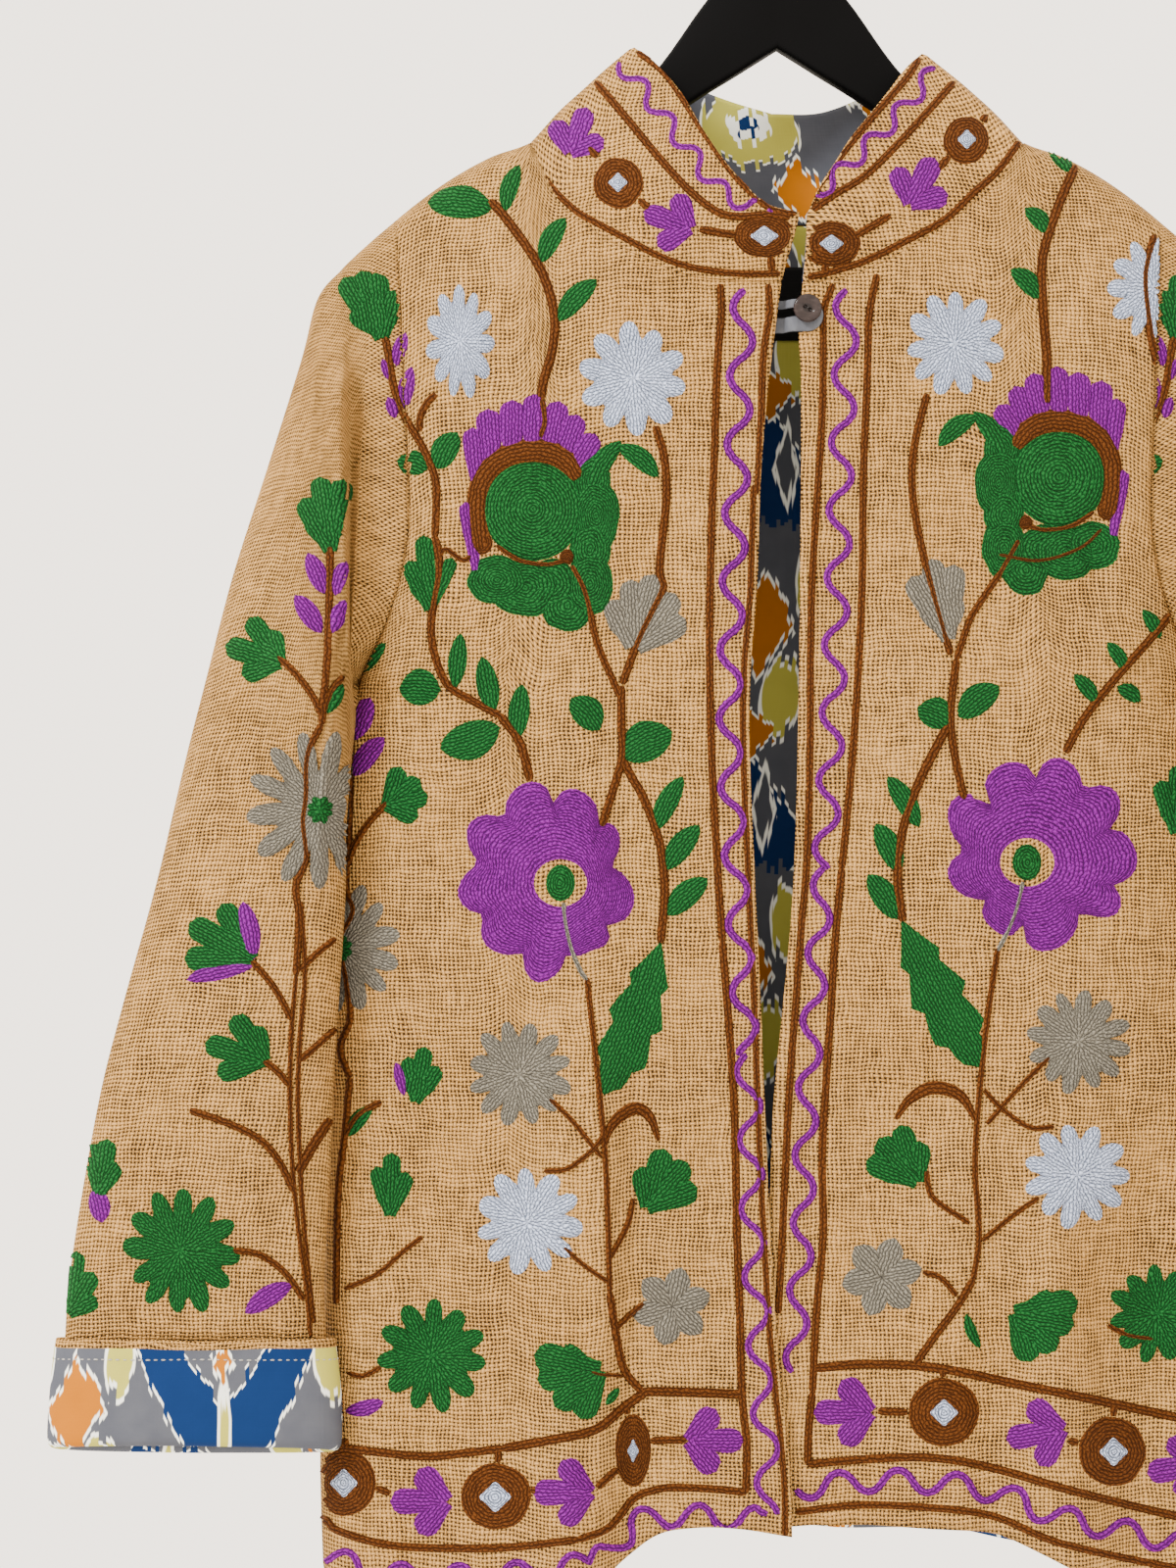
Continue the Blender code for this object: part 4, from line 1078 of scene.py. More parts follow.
def swept(name, sections, closed_path, materials):
    """A closed solid through closed sections, along an open path with end faces or a closed one."""
    sections = np.asarray(sections, float)
    count, size = sections.shape[:2]
    faces = quads(count, size, closed_path)
    corners = []
    for i in range(count if closed_path else count - 1):
        for j in range(size):
            corners += [(i, j), (i, j + 1), (i + 1, j + 1), (i + 1, j)]
    step = np.linalg.norm(np.diff(sections.mean(axis=1), axis=0), axis=1)
    length = np.concatenate([[0], np.cumsum(step), [step.sum() + 1]])
    girth = np.linalg.norm(sections[0] - np.roll(sections[0], 1, axis=0), axis=1).sum()
    flat = [(length[i], j * girth / size) for i, j in corners]
    if not closed_path:
        for end, order in ((0, range(size)), (count - 1, reversed(range(size)))):
            faces.append(tuple(end * size + j for j in order))
            flat += [(length[end], 0)] * size
    return piece_from(name, sections.reshape(-1, 3), faces, flat, None, materials)


def tube(name, path, radius, sides, materials):
    """A round closed tube along points, with drawn-in ends."""
    path = [Vector(point) for point in path]
    sections = []
    before = Vector((0, 1, 0))
    for n, point in enumerate(path):
        ahead = (path[min(n + 1, len(path) - 1)] - path[max(n - 1, 0)]).normalized()
        aside = (before - ahead * before.dot(ahead)).normalized()
        before = aside
        up = ahead.cross(aside)
        size = radius * (TUBE_END if n in (0, len(path) - 1) else 1)
        turns = [2 * math.pi * k / sides for k in range(sides)]
        sections.append([point + (aside * math.cos(t) + up * math.sin(t)) * size for t in turns])
    return swept(name, sections, False, materials)


# Steps of the cuff's outline: down its outside, round its large and small turns, inside, and up again.
CUFF_STEPS = 18
CUFF_TURN_STEPS = 8
CUFF_BEND_STEPS = 6
CUFF_IN_STEPS = 5
CUFF_UP_STEPS = 10
# How far the cuff's outside swells, and its rim outwards and upwards.
CUFF_SWELL = 0.8
CUFF_RIM_OUT = 0.7
CUFF_RIM_UP = 1.5
CUFF_RIM_STATIONS = 8


def make_cuff(word, grid, ways, printed, cloth):
    """The turned-back sleeve end: lining side out, with a folded rim of the outer cloth along its top."""
    outer = CUFF_STAND + CUFF_BAND
    inner = -(CLOTH + GAP)
    legs = []
    for n in range(CUFF_STEPS + 1):
        share = n / CUFF_STEPS
        swell = CUFF_SWELL * math.sin(math.pi * share) ** 0.7
        legs.append((mix(CUFF_TOP_RING, SLEEVE_END, share), 0, outer + swell))
    middle = (outer + inner - CUFF_CLOTH) / 2
    half = (outer - inner + CUFF_CLOTH) / 2
    for n in range(1, CUFF_TURN_STEPS):
        turn = math.pi * n / CUFF_TURN_STEPS
        legs.append((SLEEVE_END, CUFF_TURN * math.sin(turn), middle + half * math.cos(turn)))
    steps = range(CUFF_IN_STEPS + 1)
    legs += [(SLEEVE_END - n / CUFF_IN_STEPS, 0, inner - CUFF_CLOTH) for n in steps]
    legs += [(SLEEVE_END - 1 + n / CUFF_IN_STEPS, 0, inner) for n in steps]
    middle = (CUFF_STAND + inner) / 2
    half = (CUFF_STAND - inner) / 2
    for n in range(1, CUFF_BEND_STEPS):
        turn = math.pi - math.pi * n / CUFF_BEND_STEPS
        legs.append((SLEEVE_END, (CUFF_TURN - CUFF_BAND) * math.sin(turn), middle + half * math.cos(turn)))
    rings = SLEEVE_END - CUFF_TOP_RING
    legs += [(SLEEVE_END - rings * n / CUFF_UP_STEPS, 0, CUFF_STAND) for n in range(CUFF_UP_STEPS + 1)]
    for n in range(1, CUFF_BEND_STEPS):
        bulge = math.sin(math.pi - math.pi * n / CUFF_BEND_STEPS)
        distance = mix(CUFF_STAND, outer, n / CUFF_BEND_STEPS) + CUFF_RIM_OUT * bulge
        legs.append((CUFF_TOP_RING, -CUFF_RIM_UP * bulge, distance))
    count = grid.shape[1]
    width = ring_lengths(grid)
    sections = []
    for ring, fall, distance in legs:
        at = ring * FINE_RINGS
        low = min(int(at), len(grid) - 2)
        share = at - low
        point = mix(grid[low], grid[low + 1], share)
        way = mix(ways[low], ways[low + 1], share)
        down = grid[-1] - grid[-2]
        down = down / np.linalg.norm(down, axis=1, keepdims=True)
        sections.append(point + way * distance + down * fall)
    sections = np.array(sections)
    fall = running(np.linalg.norm(np.diff(sections, axis=0), axis=2).mean(axis=1))
    around = width[-1, :, 0] - width[-1, count // 4, 0]
    uvs = []
    slots = []
    stations = len(legs)
    rim = [n for n in range(stations) if n >= stations - CUFF_RIM_STATIONS or fall[n] < CUFF_RIM]
    for i in range(stations):
        after = (i + 1) % stations
        low = -fall[i]
        high = -fall[after] if after else low - 1
        for j in range(count):
            uvs += [(around[j], low), (around[j + 1], low), (around[j + 1], high), (around[j], high)]
            slots.append(1 if i in rim and after in rim else 0)
    faces = quads(stations, count, True)
    points = sections.reshape(-1, 3)
    return piece_from("cuff_%s_cloth" % word, points, faces, uvs, slots, (printed, cloth)), sections


def face_height(side, x, z):
    """Y of the outside of a front at a point."""
    return -panel_depth(side, side * x, z, True)


def make_button(finish):
    """A turned shell button with two small holes in a slanted slot, on a short shank."""
    back_y = face_height(1, SHANK_X, SHANK_Z) - BUTTON_PROUD
    points = []
    for radius, rise in BUTTON_PROFILE:
        for n in range(BUTTON_SIDES):
            turn = 2 * math.pi * n / BUTTON_SIDES
            x = radius * math.cos(turn)
            z = radius * math.sin(turn)
            sunk = 0.0
            if rise > 1:
                for hole_x, hole_z, hole_radius, depth in BUTTON_HOLES:
                    near = math.hypot(x - hole_x, z - hole_z) / hole_radius
                    sunk = max(sunk, depth * (1 - smooth_step(*BUTTON_HOLE_EDGE, near)))
            points.append((BUTTON_X + x, back_y - rise + sunk, BUTTON_Z + z))
    rings = len(BUTTON_PROFILE)
    faces = quads(rings, BUTTON_SIDES)
    faces.append(tuple(range(BUTTON_SIDES)))
    faces.append(tuple((rings - 1) * BUTTON_SIDES + n for n in reversed(range(BUTTON_SIDES))))
    return piece_from("shell_button", points, faces, None, None, (finish,))


SHANK_STEPS = 8
SHANK_SIDES = 12
SHANK_RADIUS = 1.15
SHANK_UNEVEN = 0.2
SHANK_TWIST = 2.4
SHANK_SUNK = 0.3
SHANK_EXTRA = 0.2


def make_shank(finish):
    """The wound thread between the button and the cloth."""
    cloth_y = face_height(1, SHANK_X, SHANK_Z)
    turns = [2 * math.pi * k / SHANK_SIDES for k in range(SHANK_SIDES)]
    sections = []
    for n in range(SHANK_STEPS + 1):
        y = cloth_y + SHANK_SUNK - (BUTTON_PROUD + SHANK_EXTRA) * n / SHANK_STEPS
        radius = SHANK_RADIUS + SHANK_UNEVEN * math.cos(n * SHANK_TWIST)
        sections.append([(SHANK_X + radius * math.cos(t), y, SHANK_Z + radius * math.sin(t)) for t in turns])
    return swept("button_shank", sections, False, (finish,))


def loop_outline(left, right, middle_z, half_height, stations):
    """Points of a flat outline with a square left end and a round right end."""
    bend_x = right - half_height
    points = [(x, middle_z + half_height) for x in stations]
    for n in range(LOOP_STEPS + 1):
        turn = math.pi / 2 - math.pi * n / LOOP_STEPS
        points.append((bend_x + half_height * math.cos(turn), middle_z + half_height * math.sin(turn)))
    points += [(x, middle_z - half_height) for x in reversed(stations)]
    end = range(LOOP_END_STEPS - 1, -LOOP_END_STEPS, -1)
    points += [(left, middle_z - half_height * k / LOOP_END_STEPS) for k in end]
    return points


def make_loop(finish):
    """The fabric loop: it leaves the back of the right front's edge and goes round the button's shank."""
    stations = [mix(LOOP_LEFT_X, LOOP_STRAIGHT_TO_X, n / LOOP_STATIONS) for n in range(LOOP_STATIONS + 1)]
    inner_stations = [max(x, LOOP_SLOT_LEFT_X) for x in stations]
    outer = loop_outline(LOOP_LEFT_X, LOOP_RIGHT_X, LOOP_Z, LOOP_HALF_HEIGHT, stations)
    slot = loop_outline(LOOP_SLOT_LEFT_X, LOOP_SLOT_RIGHT_X, SHANK_Z, LOOP_SLOT_HALF_HEIGHT, inner_stations)
    behind = face_height(-1, LOOP_LEFT_X, LOOP_Z) + CLOTH + GAP + LOOP_THICK + LOOP_ROOM
    ahead = face_height(1, SHANK_X, LOOP_Z) - 2 * GAP
    sections = []
    for (ox, oz), (ix, iz) in zip(outer, slot):
        ring = []
        for k in range(LOOP_SIDES):
            turn = 2 * math.pi * k / LOOP_SIDES
            share = 0.5 + 0.5 * math.cos(turn)
            x = mix(ix, ox, share)
            z = mix(iz, oz, share)
            y = mix(behind, ahead, smooth_step(*LOOP_CROSSES, x)) - LOOP_THICK * (0.5 + 0.5 * math.sin(turn))
            ring.append((x, y, z))
        sections.append(ring)
    return swept("button_loop_cloth", sections, True, (finish,))


def make_hanger(finish):
    """The flat hanger: two arms from one tall middle, with round edges."""
    tip = HANGER_ARM[-1][0]
    outs = [tip * math.sin(math.pi / 2 * n / HANGER_STEPS) for n in range(HANGER_STEPS + 1)]
    rows = [(-out, out) for out in reversed(outs[1:])] + [(out, out) for out in outs]
    sections = []
    for x, out in rows:
        top = along(HANGER_ARM, out, 1)
        foot = along(HANGER_ARM, out, 2)
        ring = []
        for face, level in ((-1, top), (1, top), (1, foot), (-1, foot)):
            up = 1 if level == top else -1
            steps = range(HANGER_EDGE_STEPS + 1)
            for k in steps if face == up else reversed(steps):
                turn = math.pi / 2 * k / HANGER_EDGE_STEPS
                y = face * (HANGER_HALF_THICK - HANGER_EDGE * (1 - math.sin(turn)))
                ring.append((x, y, level - up * HANGER_EDGE * (1 - math.cos(turn))))
        sections.append(ring)
    return swept("hanger_body", sections, False, (finish,))


def make_hook(finish):
    """A wire hook: a round bend over the rail, then a stem down to the hanger."""
    centre_z = HOOK_WIRE - HOOK_RADIUS
    path = []
    for n in range(HOOK_STEPS + 1):
        turn = math.radians(mix(HOOK_START_DEGREES, HOOK_END_DEGREES, n / HOOK_STEPS))
        path.append((HOOK_RADIUS * math.cos(turn), 0, centre_z + HOOK_RADIUS * math.sin(turn)))
    stem = [path[-1], *((x, 0, z) for x, z in HOOK_STEM)]
    for start, end in zip(stem, stem[1:]):
        for n in range(1, STEM_STEPS + 1):
            path.append(tuple(mix(a, b, n / STEM_STEPS) for a, b in zip(start, end)))
    return tube("hanger_hook_wire", path, HOOK_WIRE, WIRE_SIDES, (finish,))


# Thread, in pixels of the photograph but for the lifts, which are in millimetres.
# The height of a patch's rim, inside the cloth.
SUNK = -0.3
# Sewn shapes spread wider than their tables say.
SPREAD = 1.14
# A face with a longer side, in millimetres, would bridge two parts of the cloth and is left out.
LONGEST_STEP = 9.0
LINE_STEP = 4.0
PETAL_STEP = 4.0
CURVE_STEPS = 8
WAVE_STEP = 3.0
WAVE_ROUND = 0.85
RING_STEP = 2 * CHAIN_ROW_MM / PIXEL
THREAD_RISE = 0.85
STALK_RISE = 1.15
BROWN_LINE = 8.0
FINE_LINE = 4.5
PURPLE_LINE = 7.5
COLLAR_WAVE_LINE = 6
DAISY_CUT = 0.44
LONG_DAISY_CUT = 0.64
LONG_DAISY = 70
SMALL_DAISY = 20
SMALL_DAISY_RISE = 1.4
RIM = 5.0
EDGE_LINE_IN = 3.2
EDGE_LINE_HEIGHTS = range(-318, -822, -12)
# A tulip's body under its fingers: its length and width as shares of theirs, and a share of a finger's width.
BODY_LENGTH = 0.66
BODY_WIDTH = 0.78
BODY_EXTRA = 0.35
DIAMOND_SIZE = 1.15
DIAMOND_POWER = 4.4
ROSETTE_CUT = 0.28
ROSETTE_UNEVEN = 0.16
STAR_POINTS = 6
STAR_WIDTH = 0.62
CRESCENT_WIDTHS = ((0, 0.4), (0.5, 1), (1, 0.4))
# Patches that overlap lie at slightly different heights, in millimetres.
LAYERS = 5
LAYER_STEP = 0.05
# How far the stitches of each patch are out of step with the last one's.
PATCH_SHIFT = 37.3
# A disc without an open eye has one this small. Its surface dips between lobes, and its edge wobbles.
CLOSED_EYE = 0.002
LOBE_DIP = 0.35
WOBBLE = 1.7
# Columns: degrees from the middle lobe, reach as a share of the size, width.
BUD_LOBES = ((0, 0.95, 0.62), (74, 0.85, 0.62), (-74, 0.85, 0.62))


class Ground:
    """The outside of one piece of cloth as the camera sees it, which takes thread at given pixels.

    Across -1 looks from the camera's mirror image, and behind looks from its image on the far side.
    """

    def __init__(self, grid, closed, across=1, behind=False):
        rows, columns = grid.shape[:2]
        out = grid_normals(grid, closed)[rows // 2, columns // 4]
        corner, beside, below = (grid[rows // 2 + i, columns // 4 + j] for i, j in ((0, 0), (0, 1), (1, 0)))
        outward = np.dot(np.cross(beside - corner, below - corner), out) > 0
        faces = [face if outward else face[::-1] for face in quads(rows, columns, False, closed)]
        self.tree = BVHTree.FromPolygons(grid.reshape(-1, 3).tolist(), faces)
        self.across = across
        self.ahead = -1 if behind else 1
        self.eye = Vector((EYE.x * across, EYE.y * self.ahead, EYE.z))

    def find(self, pixel):
        """Where the line of sight of a pixel meets the cloth, and the cloth's way out there."""
        aside = (pixel[0] - PHOTO_WIDTH / 2) * PIXEL * self.across
        rise = (PHOTO_HEIGHT / 2 - pixel[1]) * PIXEL
        sight = Vector((aside, CLOTH_DISTANCE * self.ahead, rise))
        place, way = self.tree.ray_cast(self.eye, sight.normalized())[:2]
        if place is None or way.dot(sight) > 0:
            return None
        return place, way


class Needlework:
    """All thread on one piece of cloth: raised patches of chain stitch with sunk rims."""

    def __init__(self, name, ground):
        self.name = name
        self.ground = ground
        self.points = []
        self.faces = []
        self.uvs = []
        self.slots = []
        self.shift = 0.0
        self.layer = 0

    def patch(self, pixels, lifts, lengths, colour, stretch=None, rays=False):
        """A sheet of thread from rows of pixels, lifts in millimetres and lengths along and across the rows.

        Closed rows have a stretch for the turns round each strip between two rows.
        """
        pixels = np.asarray(pixels, float)
        rows, columns = pixels.shape[:2]
        met = {}
        self.shift += PATCH_SHIFT
        self.layer = (self.layer + 1) % LAYERS
        over = self.layer * LAYER_STEP
        for i in range(rows):
            for j in range(columns):
                found = self.ground.find(pixels[i][j])
                if found is None:
                    continue
                place, way = found
                met[i, j] = len(self.points)
                self.points.append(place + way * (float(lifts[i][j]) + over))
        if not met:
            return
        wide = columns if stretch else columns - 1
        for i in range(rows - 1):
            for j in range(wide):
                beside = (j + 1) % columns
                corners = ((i, j), (i, beside), (i + 1, beside), (i + 1, j))
                if any(corner not in met for corner in corners):
                    continue
                face = [met[corner] for corner in corners]
                spots = [self.points[n] for n in face]
                if max((a - b).length for a, b in zip(spots, spots[1:] + spots[:1])) > LONGEST_STEP:
                    continue
                out = (spots[2] - spots[0]).cross(spots[3] - spots[1])
                middle = (spots[0] + spots[2]) / 2
                order = (0, 1, 2, 3) if out.dot(self.ground.eye - middle) > 0 else (3, 2, 1, 0)
                ends = ((i, j), (i, j + 1), (i + 1, j + 1), (i + 1, j))
                self.faces.append([face[n] for n in order])
                for n in order:
                    a, b = ends[n]
                    run, across = lengths[a][b]
                    if stretch and rays:
                        across *= stretch[i]
                    elif stretch:
                        run *= stretch[i]
                    self.uvs.append((run + self.shift, across))
                self.slots.append(THREAD_SLOTS[colour])

    def line(self, path, width, colour, rise=THREAD_RISE, across=5, widths=None):
        """A line of thread along pixels. Widths is a table of shares along and shares of the width."""
        path = even(path, LINE_STEP)
        ways = sideways(path)
        run = lengths_along(path)
        total = run[-1]
        offsets = np.linspace(-0.5, 0.5, across)
        pixels = []
        lifts = []
        lengths = []
        for n, point in enumerate(path):
            size = width * (along(widths, run[n] / total) if widths else 1)
            near = min(run[n], total - run[n]) / max(size / 2, 0.1)
            size *= quarter_round(min(near * 0.9 + 0.25, 1))
            lean = min(size / width, 1)
            pixels.append([point + ways[n] * size * SPREAD * offset for offset in offsets])
            lifts.append([SUNK + (rise * lean - SUNK) * (1 - (2 * abs(o)) ** 3) for o in offsets])
            lengths.append([(run[n] * PIXEL, offset * size * PIXEL) for offset in offsets])
        self.patch(pixels, lifts, lengths, colour)

    def petal(self, base, tip, width, colour, bend=0.0, wide_at=0.5, blunt=0.6, teeth=0, depth=0.0, rise=0.8):
        """A leaf or petal from base to tip: pointed with blunt at 1, rounder below it, and a finger at 0."""
        base = np.array(base, float)
        tip = np.array(tip, float)
        span = tip - base
        length = np.linalg.norm(span)
        side = np.array((-span[1], span[0])) / length
        count = max(int(length / PETAL_STEP), 6) if teeth == 0 else teeth * 4
        across = 7 if width > 11 else 5
        offsets = np.linspace(-1, 1, across)
        power = math.log(0.5) / math.log(wide_at)
        pixels = []
        lifts = []
        lengths = []
        for n in range(count + 1):
            share = n / count
            middle = base + span * share + side * bend * math.sin(math.pi * share)
            if blunt:
                swell = max(math.sin(math.pi * share ** power), 0) ** blunt
            else:
                swell = mix(0.6, 1, smooth_step(0, 0.7, share))
                swell *= quarter_round((1 - share) * length / (0.55 * width))
            cut = 1 - depth * ((share * teeth) % 1) if teeth else 1
            half = max(width / 2 * SPREAD * swell * cut, 0.25)
            pixels.append([middle + side * half * o for o in offsets])
            top = rise * min(swell * 1.6, 1)
            lifts.append([SUNK + (top - SUNK) * (1 - abs(o) ** 4) for o in offsets])
            lengths.append([(share * length * PIXEL, half * o * PIXEL) for o in offsets])
        self.patch(pixels, lifts, lengths, colour)

    def disc(
        self, centre, radii, colour, lobes=0, cut=0.0, inner=None, turn=0.0, uneven=0.0,
        rise=THREAD_RISE, power=0.5, rays=False,
    ):
        """A round flower, perhaps with lobes: rows about its middle or an open eye, or rays from it."""
        centre = np.array(centre, float)
        radii = np.array(radii, float)
        eye, eye_radii = inner or (centre, radii * CLOSED_EYE)
        reach = max(radii)
        sectors = max(lobes * 8, 30)
        rings = max(round((reach - max(eye_radii)) / RING_STEP), 3)
        pixels = []
        lifts = []
        lengths = []
        for i in range(rings + 1):
            share = i / rings
            row = []
            rises = []
            for j in range(sectors):
                angle = 2 * math.pi * j / sectors
                way = np.array((math.cos(angle), -math.sin(angle)))
                wobble = noise.noise(Vector((*(way * WOBBLE), turn + reach)))
                lobe = abs(math.sin(lobes * (angle - turn + uneven * wobble) / 2)) ** power if lobes else 1
                edge = (1 + uneven * wobble) * (1 - cut * (1 - lobe) * smooth_step(0.3, 1, share))
                row.append(mix(eye + way * eye_radii, centre + way * radii * edge, share))
                rim = min((1 - share) * reach / RIM, 1)
                if inner:
                    rim = min(rim, share * reach / RIM, 1)
                ripple = 1 - LOBE_DIP * (1 - lobe) * share
                rises.append(SUNK + (rise * ripple - SUNK) * rim ** 0.5)
            pixels.append(row)
            lifts.append(rises)
            out = share * rings * 2 * CHAIN_ROW_MM
            turns = [2 * math.pi * j / sectors for j in range(sectors + 1)]
            lengths.append([(out, angle) if rays else (angle, out) for angle in turns])
        span = (reach - max(eye_radii)) / rings
        stretch = [(max(eye_radii) + (i + 0.5) * span) * PIXEL for i in range(rings)]
        self.patch(pixels, lifts, lengths, colour, stretch, rays)

    def fan(self, base, tips, width, colour):
        """A tulip: round-ended fingers from one base, over a full body."""
        base = np.array(base, float)
        ends = np.array(tips, float)
        body = base + (ends.mean(axis=0) - base) * BODY_LENGTH
        spread = np.linalg.norm(ends[0] - ends[-1]) * BODY_WIDTH + width * BODY_EXTRA
        self.petal(base, body, spread, colour, wide_at=0.62, blunt=0.55)
        for tip in tips:
            self.petal(base, tip, width, colour, blunt=0)

    def daisy(self, centre, radii, petals, colour, turn=0.0):
        """One lobed disc of rays, as a daisy's petals run together. A small one lies on another."""
        reach = max(radii)
        cut = LONG_DAISY_CUT if reach > LONG_DAISY else DAISY_CUT
        rise = SMALL_DAISY_RISE if reach < SMALL_DAISY else THREAD_RISE
        self.disc(centre, radii, colour, petals, cut, turn=turn, uneven=0.1, rise=rise, power=0.6, rays=True)

    def wave(self, path, period, reach, width, colour, start=0.0):
        """A wavy line that swings to both sides of a path."""
        path = even(path, WAVE_STEP)
        ways = sideways(path)
        run = lengths_along(path)
        swing = np.sin(2 * math.pi * run / period + start)
        swing = np.sign(swing) * np.abs(swing) ** WAVE_ROUND
        self.line(path + ways * (swing * reach)[:, None], width, colour)

    def ring(self, centre, radii, eye, stems):
        """A brown ring about a pale diamond, with short stems."""
        self.disc(centre, radii, "brown", uneven=0.05)
        size = np.array((eye * radii[0] / radii[1], eye)) * DIAMOND_SIZE
        self.disc(centre, size, "pale_blue", 4, 0.3, turn=math.pi / 4, rise=1.4, power=DIAMOND_POWER)
        for stem in stems:
            self.line(stem, BROWN_LINE, "brown")

    def bud(self, centre, size, angle):
        """Three round purple lobes from one heart. The angle is the middle lobe's."""
        centre = np.array(centre, float)
        heart = centre - heading(angle) * size * 0.5
        for lean, reach, width in BUD_LOBES:
            self.petal(heart, centre + heading(angle + lean) * size * reach, size * width, "purple", blunt=0)

    def sewn(self, finishes):
        """The piece of all this thread."""
        return piece_from(self.name, self.points, self.faces, self.uvs, self.slots, finishes, solid=False)


def heading(degrees):
    """The way in the photograph at an angle from the right upwards."""
    turn = math.radians(degrees)
    return np.array((math.cos(turn), -math.sin(turn)))


def even(points, step):
    """Points at even steps on a smooth curve through some pixels."""
    points = np.array(points, float)
    if len(points) == 2:
        curve = [points[0] + (points[1] - points[0]) * k / CURVE_STEPS for k in range(CURVE_STEPS + 1)]
    else:
        padded = np.concatenate([[2 * points[0] - points[1]], points, [2 * points[-1] - points[-2]]])
        curve = []
        for n in range(1, len(padded) - 2):
            a, b, c, d = padded[n - 1:n + 3]
            for k in range(CURVE_STEPS):
                t = k / CURVE_STEPS
                lead = 2 * a - 5 * b + 4 * c - d
                trail = -a + 3 * b - 3 * c + d
                curve.append(b + 0.5 * t * (c - a) + 0.5 * t * t * lead + 0.5 * t ** 3 * trail)
        curve.append(points[-1])
    curve = np.array(curve)
    run = lengths_along(curve)
    count = max(int(run[-1] / step), 3)
    wanted = np.linspace(0, run[-1], count + 1)
    return np.stack([np.interp(wanted, run, curve[:, axis]) for axis in (0, 1)], axis=1)


def lengths_along(path):
    return running(np.linalg.norm(np.diff(path, axis=0), axis=1))


def sideways(path):
    """Unit vectors across a path of pixels."""
    ahead = np.gradient(path, axis=0)
    ahead /= np.maximum(np.linalg.norm(ahead, axis=1, keepdims=True), 1e-6)
    return np.stack([-ahead[:, 1], ahead[:, 0]], axis=1)


# The layout of the embroidery, in pixels of the photograph: x from its left, y from its top.
# "Right" and "left" are the wearer's, so the right front is on the photograph's left.

# Columns of stalks: width, then the points of the line.
FRONT_RIGHT_STALKS = (
    (9, (500, 205), (514, 220), (545, 263), (560, 296), (566, 328), (563, 360), (555, 387), (552, 406)),
    (7, (552, 406), (556, 430), (551, 446)),
    (8, (393, 344), (396, 360), (402, 395), (413, 425), (429, 452), (440, 476), (445, 494), (445, 521),
     (444, 548)),
    (8, (444, 548), (448, 569), (448, 588), (444, 610), (440, 636), (443, 666), (456, 698), (480, 714),
     (510, 730)),
    (9, (510, 730), (530, 757), (541, 796)), (7, (445, 402), (436, 411), (429, 425), (428, 440)),
    (5, (448, 569), (453, 560), (461, 564), (472, 572), (481, 567)),
    (4, (507, 557), (531, 572), (558, 576), (576, 573)),
    (7, (584, 577), (598, 607), (609, 655), (627, 698), (633, 712)),
    (8, (669, 435), (678, 468), (680, 508), (676, 548), (673, 583), (677, 599), (670, 615), (652, 652),
     (635, 698)),
    (8, (634, 700), (634, 735), (635, 770), (629, 795), (614, 843)),
    (9, (636, 776), (644, 792), (657, 815), (672, 856), (677, 888), (678, 919), (674, 962)),
    (6, (599, 998), (605, 1054), (611, 1108), (617, 1173), (620, 1238), (622, 1319)),
    (8, (622, 1319), (629, 1364), (637, 1398), (655, 1420)), (5, (561, 1121), (585, 1145), (613, 1180)),
    (5, (556, 1195), (580, 1192), (605, 1173), (614, 1160)), (5, (574, 1271), (592, 1288), (620, 1308)),
    (6, (646, 1223), (640, 1250), (622, 1284)), (6, (657, 1330), (640, 1344), (628, 1356)),
    (5, (389, 1395), (370, 1404), (355, 1401)), (5, (352, 1315), (385, 1300), (410, 1278), (431, 1262)),
    (9, (357, 709), (357, 760), (356, 820), (354, 885)),
    (7, (396, 818), (376, 840), (362, 862), (354, 884)),
    (7, (354, 885), (353, 908), (361, 930), (348, 960), (354, 1000), (357, 1040), (347, 1070), (357, 1100)),
    (7, (357, 1100), (352, 1155), (345, 1220), (343, 1330)), (7, (352, 1160), (366, 1138), (389, 1124)),
    (4, (601, 1398), (612, 1402), (636, 1404)),
)
# Columns of leaves: base x, base y, tip x, tip y, width, bend.
FRONT_RIGHT_LEAVES = (
    (503, 212, 436, 207, 34, 4), (515, 216, 530, 168, 18, -3), (552, 268, 577, 222, 20, -3),
    (569, 328, 609, 285, 21, -3), (446, 479, 467, 441, 28, -3), (437, 478, 405, 470, 25, 2),
    (350, 698, 394, 656, 17, 0), (464, 702, 470, 646, 18, 0), (503, 728, 492, 670, 21, 0),
    (526, 756, 533, 698, 22, 0), (450, 704, 407, 702, 37, 2), (510, 742, 449, 764, 37, -3),
    (612, 745, 583, 712, 30, 3), (634, 772, 686, 746, 38, -3), (668, 848, 697, 792, 22, -2),
    (678, 888, 714, 842, 24, -2), (680, 934, 722, 896, 25, -2), (632, 1416, 618, 1434, 9, 0),
    (354, 1160, 380, 1128, 15, -2),
)
FRONT_RIGHT_PURPLE = (
    (404, 374, 414, 339, 15, -1), (413, 417, 420, 374, 16, -2), (397, 388, 390, 366, 10, 1),
    (403, 427, 396, 405, 12, 1), (358, 756, 378, 712, 24, -1), (360, 792, 392, 752, 22, -2),
    (352, 1440, 392, 1430, 16, 2), (412, 1118, 404, 1084, 12, 1),
)
